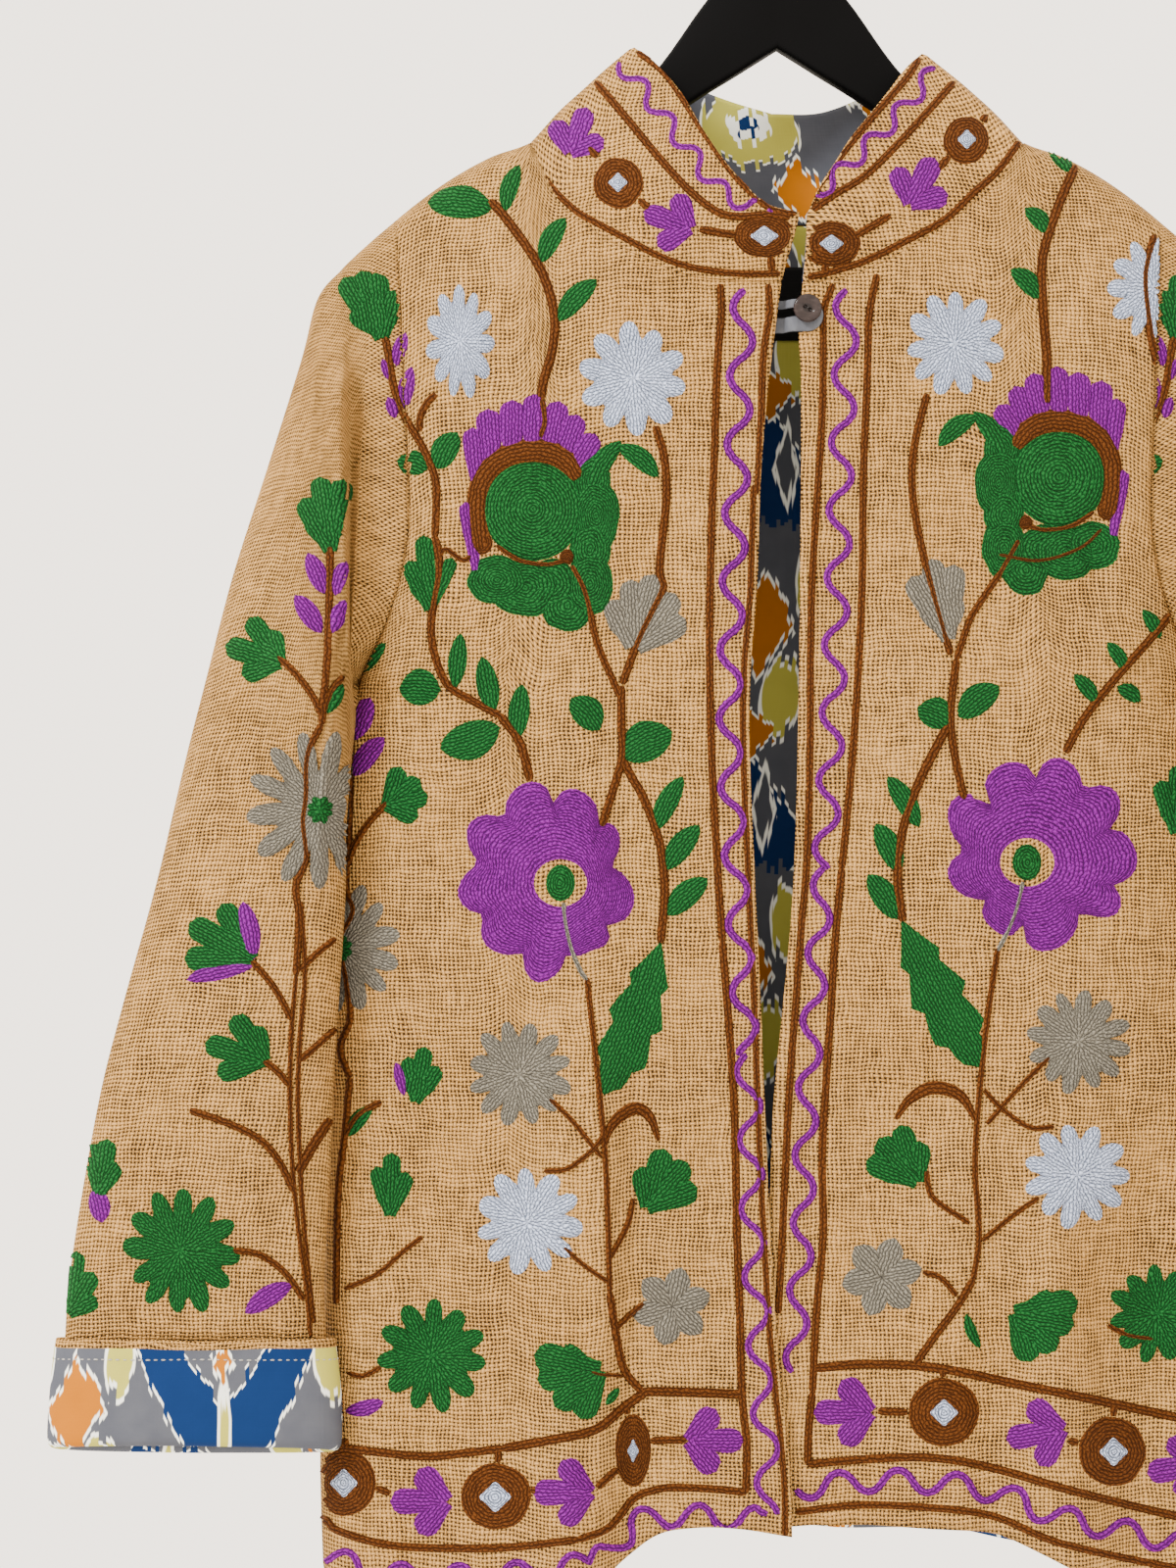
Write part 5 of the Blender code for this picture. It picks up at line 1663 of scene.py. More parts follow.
# Columns of daisies: x, y, radius across, radius down, petals, turn, colour.
FRONT_RIGHT_DAISIES = (
    (470, 348, 37, 58, 11, 0.2, "pale_blue"), (646, 386, 57, 58, 10, 0.1, "pale_blue"),
    (348, 968, 62, 70, 13, 0.0, "grey"), (348, 968, 17, 18, 8, 0.0, "green"),
    (530, 1096, 55, 56, 12, 0.0, "grey"), (539, 1247, 56, 56, 11, 0.2, "pale_blue"),
    (441, 1383, 58, 58, 11, 0.1, "green"),
)
# Columns of tulips: colour, finger width, base x and y, then the tips.
FRONT_RIGHT_TULIPS = (
    ("green", 24, (389, 345), (350, 283), (368, 276), (384, 278), (403, 296)),
    ("green", 19, (439, 622), (417, 572), (432, 546)), ("green", 14, (440, 622), (462, 569)),
    ("grey", 24, (645, 660), (624, 612), (644, 591), (668, 586)),
    ("grey", 24, (650, 661), (690, 606), (700, 632)),
    ("green", 24, (660, 1232), (656, 1190), (678, 1172), (702, 1186), (712, 1212)),
    ("green", 20, (394, 822), (409, 782), (429, 795), (437, 812), (427, 834)),
    ("green", 18, (398, 1240), (384, 1190), (400, 1176), (416, 1196)),
    ("green", 18, (424, 1124), (416, 1078), (434, 1068), (448, 1088)),
    ("green", 28, (612, 1398), (545, 1382), (548, 1408), (566, 1436), (592, 1448)),
)
# Columns of six-pointed flowers: x, y, radius, turn, colour.
FRONT_RIGHT_STARS = ((686, 1333, 41, 0.3, "grey"),)
# Columns of crescents: width, then the points.
FRONT_RIGHT_CRESCENTS = ((13, (616, 1172), (622, 1152), (634, 1138), (650, 1131), (664, 1141), (672, 1164)),)

FRONT_LEFT_STALKS = (
    (9, (1097, 170), (1080, 210), (1064, 262), (1064, 310), (1068, 366), (1068, 411)),
    (8, (946, 402), (933, 455), (931, 501), (939, 552), (956, 620), (970, 668)),
    (7, (1040, 550), (1020, 585), (998, 618), (989, 634), (976, 673)),
    (8, (976, 673), (972, 705), (970, 735), (974, 770), (984, 816)),
    (9, (968, 740), (961, 752), (936, 802), (920, 852), (916, 898), (921, 940)),
    (8, (1262, 420), (1232, 540), (1200, 618), (1135, 696), (1105, 735), (1087, 768)),
    (6, (1018, 968), (1007, 1043), (998, 1130), (995, 1192), (999, 1261), (993, 1306)),
    (8, (993, 1306), (976, 1334), (955, 1362), (934, 1392)), (5, (1071, 1078), (1035, 1115), (1007, 1147)),
    (5, (1075, 1150), (1050, 1150), (1021, 1130), (1004, 1112)),
    (5, (1060, 1222), (1034, 1240), (1002, 1266)), (6, (945, 1195), (952, 1222), (989, 1248)),
    (6, (942, 1298), (960, 1304), (976, 1322)), (5, (1130, 1352), (1150, 1362), (1176, 1366)),
    (7, (1230, 700), (1228, 820), (1232, 940), (1228, 1060), (1232, 1180), (1230, 1300)),
    (4, (1019, 566), (1060, 572), (1100, 560), (1124, 540)),
    (8, (1178, 240), (1168, 280), (1172, 330), (1180, 372)),
)
FRONT_LEFT_LEAVES = (
    (1093, 176, 1069, 150, 18, 3), (1070, 238, 1046, 212, 18, 3), (1062, 305, 1032, 274, 20, 3),
    (972, 738, 936, 722, 30, 3), (978, 732, 1020, 700, 30, -3), (938, 844, 906, 792, 22, 2),
    (918, 890, 894, 840, 24, 2), (916, 938, 886, 892, 25, 2), (1120, 718, 1096, 688, 15, 2),
    (1150, 686, 1130, 655, 15, 2), (1184, 652, 1166, 622, 15, 2), (1140, 700, 1164, 716, 16, -2),
    (986, 1340, 1000, 1376, 11, 2), (1246, 470, 1270, 440, 20, -3),
)
FRONT_LEFT_PURPLE = (
    (1226, 750, 1212, 716, 13, 1), (1226, 800, 1206, 764, 14, 2), (1234, 1120, 1252, 1086, 13, -1),
)
FRONT_LEFT_DAISIES = (
    (974, 351, 52, 56, 11, 0.1, "pale_blue"), (1176, 294, 48, 54, 11, 0.0, "pale_blue"),
    (1100, 1062, 54, 54, 12, 0.1, "grey"), (1098, 1199, 54, 54, 11, 0.3, "pale_blue"),
    (1181, 1340, 52, 52, 11, 0.2, "green"),
)
FRONT_LEFT_TULIPS = (
    ("grey", 24, (968, 652), (930, 588), (950, 570), (974, 576)),
    ("green", 24, (936, 1206), (884, 1184), (896, 1162), (918, 1148), (938, 1164)),
    ("green", 28, (1036, 1340), (1100, 1328), (1096, 1352), (1078, 1378), (1052, 1390)),
    ("green", 20, (1200, 850), (1184, 796), (1204, 780), (1220, 800)),
)
FRONT_LEFT_STARS = ((900, 1303, 42, 0.2, "grey"), (1240, 960, 40, 0.0, "grey"))
FRONT_LEFT_CRESCENTS = ((13, (914, 1142), (928, 1122), (952, 1110), (980, 1118), (996, 1144)),)

# Rosettes. Columns: x, y, radius across, radius down, lobes, turn.
ROSETTES = {-1: (558, 898, 92, 100, 9, 0.12), 1: (1064, 870, 100, 98, 9, 0.3)}
# Columns: eye x, eye y, its radius across and down, then the points of its fine stalk.
ROSETTE_EYES = {
    -1: ((572, 901), (26, 23), (575, 921), (578, 945), (584, 970), (592, 990), (599, 1000)),
    1: ((1048, 880), (27, 24), (1044, 900), (1036, 930), (1026, 955), (1018, 970)),
}
# Toothed leaves. Columns: base, tip, width, bend.
TOOTHED_LEAVES = {-1: ((616, 1118), (675, 960), 60, 3), 1: ((1001, 1090), (920, 938), 60, -3)}

# The large pomegranates. Columns: x, y, which way round, size. Its parts' places are from its own middle.
POMEGRANATES = {-1: (544, 520, 1, 1), 1: (1080, 487, -1, 0.96)}
FRUIT_RADII = (53, 54)
FRUIT_CRESCENT = (
    (-53, 40), (-57, 10), (-56, -17), (-48, -37), (-33, -51), (-13, -58), (8, -59), (26, -54), (38, -44),
    (46, -32),
)
FRUIT_CRESCENT_WIDTHS = ((0, 0.9), (0.25, 0.85), (0.6, 1.05), (0.85, 1.1), (1, 0.7))
# Columns of fingers: base, tip, width.
FRUIT_FINGERS = (
    (-56, -22, -62, -84, 22), (-42, -40, -46, -103, 25), (-22, -50, -21, -112, 25), (-2, -54, 2, -118, 22),
    (14, -52, 27, -111, 24), (28, -46, 46, -97, 23), (38, -36, 64, -77, 22), (-58, 62, -69, -8, 15),
)
# Columns of sepals: middle x, middle y, radius across, radius down.
FRUIT_SEPALS = (
    (60, -30, 20, 30), (64, 6, 26, 40), (58, 40, 22, 30), (58, 76, 24, 34), (35, 98, 28, 30),
    (16, 76, 30, 28), (-8, 80, 38, 30), (-36, 72, 32, 26),
)
# Its arm and leaf, up to one side. Columns: base, tip, width, bend.
FRUIT_ARM = ((58, -20, 90, -70, 20, -5), (86, -66, 128, -33, 21, -4))
FRUIT_CRESCENT_WIDE = 22
FRUIT_SEAM = ((-37, 37), (-13, 52), (14, 56), (32, 52))
FRUIT_NOTCH = (-53, 34, 13)
FRUIT_KNOT = (35, 48, 8)

# Brown lines along the fronts' borders. Columns: width, then the points.
FRONT_RIGHT_LINES = (
    (8, (735, 290), (736, 321), (732, 372), (729, 460), (726, 540), (724, 652), (726, 764), (730, 849),
     (737, 961)),
    (8, (737, 961), (746, 1076), (750, 1152), (752, 1260), (755, 1341), (757, 1421), (762, 1475),
     (761, 1523)),
    (7, (784, 290), (785, 321), (779, 362), (776, 443), (773, 504)),
    (9, (758, 1423), (710, 1421), (664, 1420), (655, 1423), (633, 1439), (607, 1459), (564, 1469),
     (513, 1478)),
    (9, (513, 1478), (480, 1482), (430, 1486), (355, 1478), (322, 1474), (270, 1480)),
    (8, (761, 1523), (735, 1520), (699, 1518), (674, 1519), (648, 1528), (633, 1546), (618, 1561),
     (590, 1571)),
    (8, (590, 1571), (531, 1578), (480, 1580), (400, 1577), (345, 1562), (328, 1549), (280, 1545)),
    (7, (655, 1588), (630, 1610), (590, 1624), (520, 1634), (430, 1636), (350, 1622), (310, 1612)),
)
FRONT_LEFT_LINES = (
    (7, (850, 290), (840, 317), (840, 341), (839, 423), (834, 504), (829, 586), (827, 662), (827, 723),
     (826, 804)),
    (7, (826, 804), (823, 886), (818, 941), (812, 1023), (806, 1104), (802, 1180), (797, 1287),
     (794, 1340)),
    (8, (895, 280), (887, 321), (885, 382), (881, 484), (880, 586), (877, 662), (872, 743), (867, 804),
     (859, 886)),
    (8, (859, 886), (852, 962), (847, 1043), (843, 1104), (839, 1180), (840, 1260), (833, 1341),
     (829, 1421)),
    (8, (829, 1421), (825, 1460), (824, 1494)),
    (9, (832, 1396), (886, 1392), (956, 1396), (1041, 1413), (1125, 1430), (1200, 1446), (1276, 1460)),
    (8, (824, 1494), (900, 1488), (956, 1488), (1013, 1498), (1097, 1522), (1200, 1547), (1276, 1562)),
    (8, (812, 1543), (872, 1536), (942, 1538), (1013, 1547), (1083, 1575), (1200, 1600), (1276, 1612)),
)
# Wavy purple lines. Columns: period, swing, then the points of the middle line.
FRONT_RIGHT_WAVES = (
    (70, 11, (760, 296), (756, 372), (750, 540), (746, 652), (745, 764), (749, 849), (755, 961),
     (762, 1076)),
    (70, 11, (762, 1076), (765, 1152), (768, 1260), (773, 1341), (777, 1421), (783, 1475), (783, 1545)),
    (57, 12, (783, 1545), (771, 1550), (720, 1548), (690, 1546), (655, 1552), (636, 1566), (620, 1586),
     (600, 1594)),
    (59, 11, (600, 1594), (560, 1602), (480, 1608), (400, 1606), (345, 1592), (310, 1580)),
)
FRONT_LEFT_WAVES = (
    (69, 11, (864, 296), (862, 382), (858, 484), (855, 586), (852, 662), (849, 743), (846, 804),
     (841, 886)),
    (69, 10, (841, 886), (835, 962), (829, 1043), (825, 1104), (821, 1180), (819, 1260), (814, 1341),
     (811, 1400)),
    (60, 11, (812, 1520), (872, 1512), (942, 1512), (1013, 1522), (1083, 1548), (1200, 1573), (1276, 1586)),
)
# Brown rings with pale diamonds. Columns: x, y, radius across, radius down, size of the diamond, stem ends.
FRONT_RIGHT_RINGS = (
    (646, 1480, 19, 38, 13, ((640, 1443), (638, 1430)), ((664, 1470), (700, 1469)), ((630, 1499),
     (609, 1518))),
    (506, 1527, 37, 35, 17, ((508, 1492), (509, 1480)), ((542, 1520), (550, 1522))),
    (352, 1513, 33, 35, 16, ((352, 1478), (352, 1468)), ((384, 1518), (398, 1524))),
)
FRONT_LEFT_RINGS = (
    (963, 1441, 37, 36, 16, ((962, 1405), (962, 1394)), ((926, 1441), (896, 1440))),
    (1135, 1481, 36, 36, 16, ((1136, 1445), (1137, 1432)), ((1100, 1472), (1090, 1470))),
)
# Three-lobed buds. Columns: x, y, size, direction in degrees.
FRONT_RIGHT_BUDS = ((722, 1470, 39, 0), (582, 1523, 40, 180), (436, 1532, 40, 180))
FRONT_LEFT_BUDS = ((868, 1441, 40, 180), (1064, 1462, 40, 190), (1206, 1497, 38, 190))
BORDERS = {
    -1: (FRONT_RIGHT_LINES, FRONT_RIGHT_WAVES, FRONT_RIGHT_RINGS, FRONT_RIGHT_BUDS),
    1: (FRONT_LEFT_LINES, FRONT_LEFT_WAVES, FRONT_LEFT_RINGS, FRONT_LEFT_BUDS),
}
FLOWERS = {
    -1: (
        FRONT_RIGHT_STALKS,
        FRONT_RIGHT_LEAVES,
        FRONT_RIGHT_PURPLE,
        FRONT_RIGHT_DAISIES,
        FRONT_RIGHT_TULIPS,
        FRONT_RIGHT_STARS,
        FRONT_RIGHT_CRESCENTS,
    ),
    1: (
        FRONT_LEFT_STALKS,
        FRONT_LEFT_LEAVES,
        FRONT_LEFT_PURPLE,
        FRONT_LEFT_DAISIES,
        FRONT_LEFT_TULIPS,
        FRONT_LEFT_STARS,
        FRONT_LEFT_CRESCENTS,
    ),
}

SLEEVE_STALKS = (
    (8, (337, 556), (336, 610), (334, 670), (330, 714), (328, 739)),
    (7, (284, 670), (304, 690), (320, 712), (328, 730)), (7, (330, 726), (338, 706), (350, 690)),
    (7, (328, 739), (314, 770), (312, 814), (309, 839), (312, 876), (302, 904), (305, 938), (302, 995)),
    (5, (302, 995), (297, 1060), (296, 1120), (298, 1184), (304, 1250), (312, 1310), (317, 1364)),
    (5, (307, 920), (311, 995), (306, 1060), (304, 1120), (306, 1184), (310, 1250), (320, 1350)),
    (7, (256, 980), (274, 1000), (286, 1018), (297, 1040)), (7, (268, 1082), (282, 1092), (296, 1108)),
    (7, (194, 1133), (232, 1146), (264, 1162), (284, 1184), (300, 1216)),
    (7, (238, 1276), (264, 1280), (290, 1298), (310, 1326)), (7, (306, 990), (322, 974), (342, 958)),
    (7, (306, 1082), (322, 1068), (342, 1050)), (10, (304, 1196), (320, 1168), (337, 1142)),
)
SLEEVE_LEAVES = ((334, 728, 350, 698, 15, -1),)
SLEEVE_PURPLE = (
    (331, 606, 314, 564, 20, 1), (342, 608, 353, 572, 17, -1), (328, 646, 301, 607, 20, 1),
    (339, 646, 352, 612, 16, -1), (258, 980, 248, 920, 21, 1), (260, 984, 190, 1000, 19, 2),
    (250, 1340, 298, 1310, 21, -2), (104, 1248, 97, 1212, 21, 1),
)
SLEEVE_DAISIES = (
    (326, 826, 76, 84, 13, 0.1, "grey"), (326, 826, 18, 19, 8, 0.0, "green"),
    (184, 1276, 61, 66, 12, 0.2, "green"),
)
SLEEVE_TULIPS = (
    ("green", 22, (337, 562), (309, 508), (326, 486), (350, 488)),
    ("green", 22, (286, 676), (246, 688), (230, 658), (254, 630), (276, 642)),
    ("green", 24, (258, 978), (188, 978), (193, 942), (226, 922)),
    ("green", 22, (270, 1082), (221, 1096), (209, 1064), (238, 1036), (260, 1046)),
    ("green", 20, (101, 1218), (92, 1164), (110, 1162), (119, 1186)),
    ("green", 20, (71, 1340), (78, 1276), (96, 1298), (99, 1324)),
)
SLEEVE_FLOWERS = (SLEEVE_STALKS, SLEEVE_LEAVES, SLEEVE_PURPLE, SLEEVE_DAISIES, SLEEVE_TULIPS, (), ())

# The collar's lines, outer to inner, on its right half and its left half.
COLLAR_LINES = (
    (7, (538, 149), (557, 184), (585, 213), (608, 227), (638, 243), (672, 261), (707, 273), (752, 279),
     (796, 279)),
    (8, (608, 84), (638, 119), (670, 158), (702, 193), (730, 215), (752, 221), (787, 219), (806, 222)),
    (7, (651, 53), (679, 75), (704, 112), (720, 137), (745, 173), (766, 196), (787, 213), (812, 218)),
    (7, (1046, 136), (1019, 173), (993, 197), (964, 224), (922, 247), (883, 266), (849, 277), (824, 283)),
    (8, (973, 84), (950, 110), (918, 145), (883, 179), (849, 200), (830, 214)),
    (7, (938, 60), (925, 80), (897, 112), (870, 144), (847, 174), (833, 194), (828, 214)),
)
COLLAR_WAVES = (
    (44, 8, (632, 64), (650, 84), (676, 118), (702, 152), (730, 188), (756, 206), (790, 214)),
    (44, 8, (954, 70), (936, 94), (908, 126), (876, 158), (848, 184), (832, 202)),
)
COLLAR_RINGS = (
    (631, 187, 27, 27, 11, ((610, 160), (600, 150)), ((652, 204), (664, 214))),
    (780, 241, 33, 23, 11, ((750, 240), (714, 234)), ((786, 262), (788, 277))),
    (986, 143, 25, 26, 11, ((968, 160), (958, 172)), ((1002, 124), (1006, 118))),
    (848, 249, 31, 24, 11, ((874, 240), (908, 220)), ((842, 270), (842, 279))),
)
COLLAR_BUDS = ((588, 140, 34, 70), (688, 227, 35, 160), (937, 192, 37, 62))


def pixel_of(x, y, z):
    """The photograph's pixel where the camera sees a point."""
    far = (y - EYE.y) / CLOTH_DISTANCE * PIXEL
    return (PHOTO_WIDTH / 2 + (x - EYE.x) / far, PHOTO_HEIGHT / 2 - (z - EYE.z) / far)


def sew_flowers(work, tables):
    """Stalks, leaves and flowers from one group of tables."""
    stalks, leaves, purple, daisies, tulips, stars, crescents = tables
    for width, *points in stalks:
        work.line(points, width, "brown", rise=STALK_RISE)
    for colour, rows in (("green", leaves), ("purple", purple)):
        for bx, by, tx, ty, width, bend in rows:
            work.petal((bx, by), (tx, ty), width, colour, bend)
    for colour, width, base, *tips in tulips:
        work.fan(base, tips, width, colour)
    for x, y, wide, tall, petals, turn, colour in daisies:
        work.daisy((x, y), (wide, tall), petals, colour, turn)
    for x, y, radius, turn, colour in stars:
        for n in range(STAR_POINTS):
            angle = turn + 2 * math.pi / STAR_POINTS * n
            tip = (x + radius * math.cos(angle), y - radius * math.sin(angle))
            work.petal((x, y), tip, radius * STAR_WIDTH, colour, wide_at=0.6, blunt=0.7)
    for width, *points in crescents:
        work.line(points, width, "brown", across=7, widths=CRESCENT_WIDTHS)


def sew_rosette(work, side):
    """The large purple flower with an open eye, a green middle and a fine stalk."""
    x, y, wide, tall, lobes, turn = ROSETTES[side]
    eye, radii, *stalk = ROSETTE_EYES[side]
    opening = (np.array(eye, float), np.array(radii))
    work.disc((x, y), (wide, tall), "purple", lobes, ROSETTE_CUT, opening, turn, ROSETTE_UNEVEN)
    work.disc(eye, (radii[0] * 0.6, radii[1] * 0.84), "green")
    work.line(stalk, FINE_LINE, "grey", rise=1.5)


def sew_pomegranate(work, side):
    """A round fruit with a brown crown of fingers above and green sepals below and beside it."""
    x, y, mirror, size = POMEGRANATES[side]

    def at(dx, dy):
        return (x + dx * mirror * size, y + dy * size)

    for dx, dy, wide, tall in FRUIT_SEPALS:
        work.disc(at(dx, dy), (wide * size, tall * size), "green", uneven=0.12, rise=0.7)
    for bx, by, tx, ty, width, bend in FRUIT_ARM:
        work.petal(at(bx, by), at(tx, ty), width * size, "green", bend * mirror)
    for bx, by, tx, ty, width in FRUIT_FINGERS:
        work.petal(at(bx, by), at(tx, ty), width * size, "purple", blunt=0)
    crescent = [at(dx, dy) for dx, dy in FRUIT_CRESCENT]
    work.line(crescent, FRUIT_CRESCENT_WIDE * size, "brown", rise=1.7, across=7, widths=FRUIT_CRESCENT_WIDTHS)
    work.disc(at(0, 0), (FRUIT_RADII[0] * size, FRUIT_RADII[1] * size), "green", rise=1.0)
    for (dx, dy, radius), rise in ((FRUIT_NOTCH, 1.0), (FRUIT_KNOT, 1.7)):
        work.disc(at(dx, dy), (radius * size, radius * size), "brown", rise=rise)
    work.line([at(dx, dy) for dx, dy in FRUIT_SEAM], FINE_LINE, "brown", rise=1.5)


def sew_waves(work, waves, width):
    for period, reach, *points in waves:
        work.wave(points, period, reach, width, "purple")


def sew_border(work, tables):
    """Lines, waves, rings and buds along the edges of a front, the back or the collar."""
    lines, waves, rings, buds = tables
    for width, *points in lines:
        work.line(points, width, "brown")
    sew_waves(work, waves, PURPLE_LINE)
    for x, y, wide, tall, eye, *stems in rings:
        work.ring((x, y), (wide, tall), eye, stems)
    for x, y, size, angle in buds:
        work.bud((x, y), size, angle)


def sew_garden(work, side):
    """All flowers of one front."""
    sew_pomegranate(work, side)
    sew_flowers(work, FLOWERS[side])
    sew_rosette(work, side)
    base, tip, width, bend = TOOTHED_LEAVES[side]
    work.petal(base, tip, width, "green", bend, teeth=4, depth=0.42, wide_at=0.42, blunt=0.7)


def sew_front(word, grid):
    """The thread on one front, with a brown line down the right one's free edge."""
    side = SIDES[word]
    work = Needlework("front_%s_thread" % word, Ground(grid, False))
    sew_garden(work, side)
    sew_border(work, BORDERS[side])
    if side < 0:
        path = []
        for z in EDGE_LINE_HEIGHTS:
            x = along(FRONT_EDGE[side], z) - EDGE_LINE_IN
            path.append(pixel_of(x, face_height(side, x, z), z))
        work.line(path, BROWN_LINE * 0.8, "brown")
    return work


# The front's flowers that run over the armhole's seam onto the sleeve.
ARMHOLE_FLOWERS = (
    (FRONT_RIGHT_STALKS[2][:7], FRONT_RIGHT_STALKS[5]),
    (FRONT_RIGHT_LEAVES[5],),
    FRONT_RIGHT_PURPLE[:4],
    (),
    (FRONT_RIGHT_TULIPS[0],),
    (),
    (),
)


def sew_sleeve(word, grid):
    """The thread on one sleeve's front, and fewer flowers on its back."""
    work = Needlework("sleeve_%s_thread" % word, Ground(grid, True, -SIDES[word]))
    sew_flowers(work, SLEEVE_FLOWERS)
    sew_flowers(work, ARMHOLE_FLOWERS)
    work.ground = Ground(grid, True, -SIDES[word], True)
    sew_flowers(work, SLEEVE_FLOWERS)
    return work


def sew_back(grid):
    """The thread on the back: each half carries the right front's flowers, with a border along the hem."""
    work = Needlework("back_thread", None)
    rings, buds = BORDERS[-1][2:]
    for across in (1, -1):
        work.ground = Ground(grid, False, across, True)
        sew_garden(work, -1)
        sew_border(work, (BACK_LINES, BACK_WAVES, rings, buds))
        sew_flowers(work, BACK_MIDDLE)
    return work


def sew_collar(grid):
    """The thread on the collar, with its lines and motifs carried round the back."""
    work = Needlework("collar_thread", None)
    front = (COLLAR_LINES, COLLAR_WAVES, COLLAR_RINGS, COLLAR_BUDS)
    behind = (COLLAR_BACK_LINES, COLLAR_BACK_WAVES, COLLAR_BACK_RINGS, COLLAR_BACK_BUDS)
    for across, is_back, tables in ((1, False, front), (1, True, behind), (-1, True, behind)):
        lines, waves, rings, buds = tables
        work.ground = Ground(grid, False, across, is_back)
        sew_border(work, (lines, (), rings, buds))
        sew_waves(work, waves, COLLAR_WAVE_LINE)
    return work


# The back's own lines, seen from the camera's image behind it, from its side to its middle at x 797.
MIDDLE_X = 797.4
BACK_LINES = (
    (9, (MIDDLE_X, 1428), (740, 1430), (664, 1434), (564, 1469), (480, 1482), (430, 1486), (355, 1478),
     (322, 1474)),
    (8, (MIDDLE_X, 1530), (735, 1532), (648, 1540), (590, 1571), (480, 1580), (400, 1577), (328, 1549)),
    (7, (MIDDLE_X, 1576), (735, 1580), (655, 1592), (590, 1616), (520, 1628), (430, 1630), (350, 1618),
     (310, 1610)),
)
BACK_WAVES = (
    (58, 11, (MIDDLE_X, 1553), (735, 1556), (655, 1566), (600, 1592), (520, 1604), (400, 1604), (310, 1580)),
)
BACK_MIDDLE = (
    (
        (8, (MIDDLE_X, 300), (790, 380), (800, 460), (792, 560), (800, 640), (793, 740), (799, 840)),
        (8, (799, 940), (792, 1040), (800, 1140), (793, 1240), (799, 1330), (MIDDLE_X, 1425)),
        (6, (796, 700), (770, 740), (748, 762)),
        (6, (796, 1250), (768, 1222), (742, 1214)),
    ),
    (
        (794, 400, 764, 372, 20, -3),
        (797, 480, 764, 506, 20, 3),
        (795, 590, 760, 566, 22, -3),
        (796, 660, 764, 690, 20, 3),
        (795, 1060, 758, 1030, 22, -3),
        (797, 1150, 760, 1172, 22, 3),
        (796, 1350, 764, 1330, 20, -3),
    ),
    ((790, 340, 776, 310, 14, 1), (790, 1400, 768, 1384, 14, 1)),
    ((MIDDLE_X, 890, 58, 58, 12, 0.0, "pale_blue"),),
    (
        ("green", 22, (742, 790), (722, 742), (740, 730), (758, 744)),
        ("purple", 22, (736, 1216), (700, 1200), (706, 1226)),
    ),
    ((MIDDLE_X, 268, 34, 0.0, "grey"),),
    (),
)
COLLAR_BACK_LINES = (
    (7, (538, 149), (585, 168), (640, 186), (700, 200), (760, 205), (MIDDLE_X, 206)),
    (7, (651, 56), (672, 72), (700, 82), (740, 92), (MIDDLE_X, 96)),
    (7, (612, 88), (650, 108), (700, 122), (750, 130), (MIDDLE_X, 132)),
)
COLLAR_BACK_WAVES = ((44, 8, (632, 66), (660, 86), (700, 102), (745, 111), (MIDDLE_X, 114)),)
COLLAR_BACK_RINGS = (
    (MIDDLE_X, 168, 26, 26, 11, ((MIDDLE_X, 196), (MIDDLE_X, 204))),
    (664, 152, 22, 25, 11, ((686, 160), (700, 166))),
)
COLLAR_BACK_BUDS = ((730, 168, 26, 0), (604, 128, 24, 200))


def sew_all(grounds):
    """Every piece's embroidery, one mesh for each piece of cloth."""
    works = [sew_front(word, grounds["front_" + word]) for word in SIDES]
    works += [sew_sleeve(word, grounds["sleeve_" + word]) for word in SIDES]
    works += [sew_back(grounds["back"]), sew_collar(grounds["collar"])]
    return {work.name: work.sewn(THREADS) for work in works}


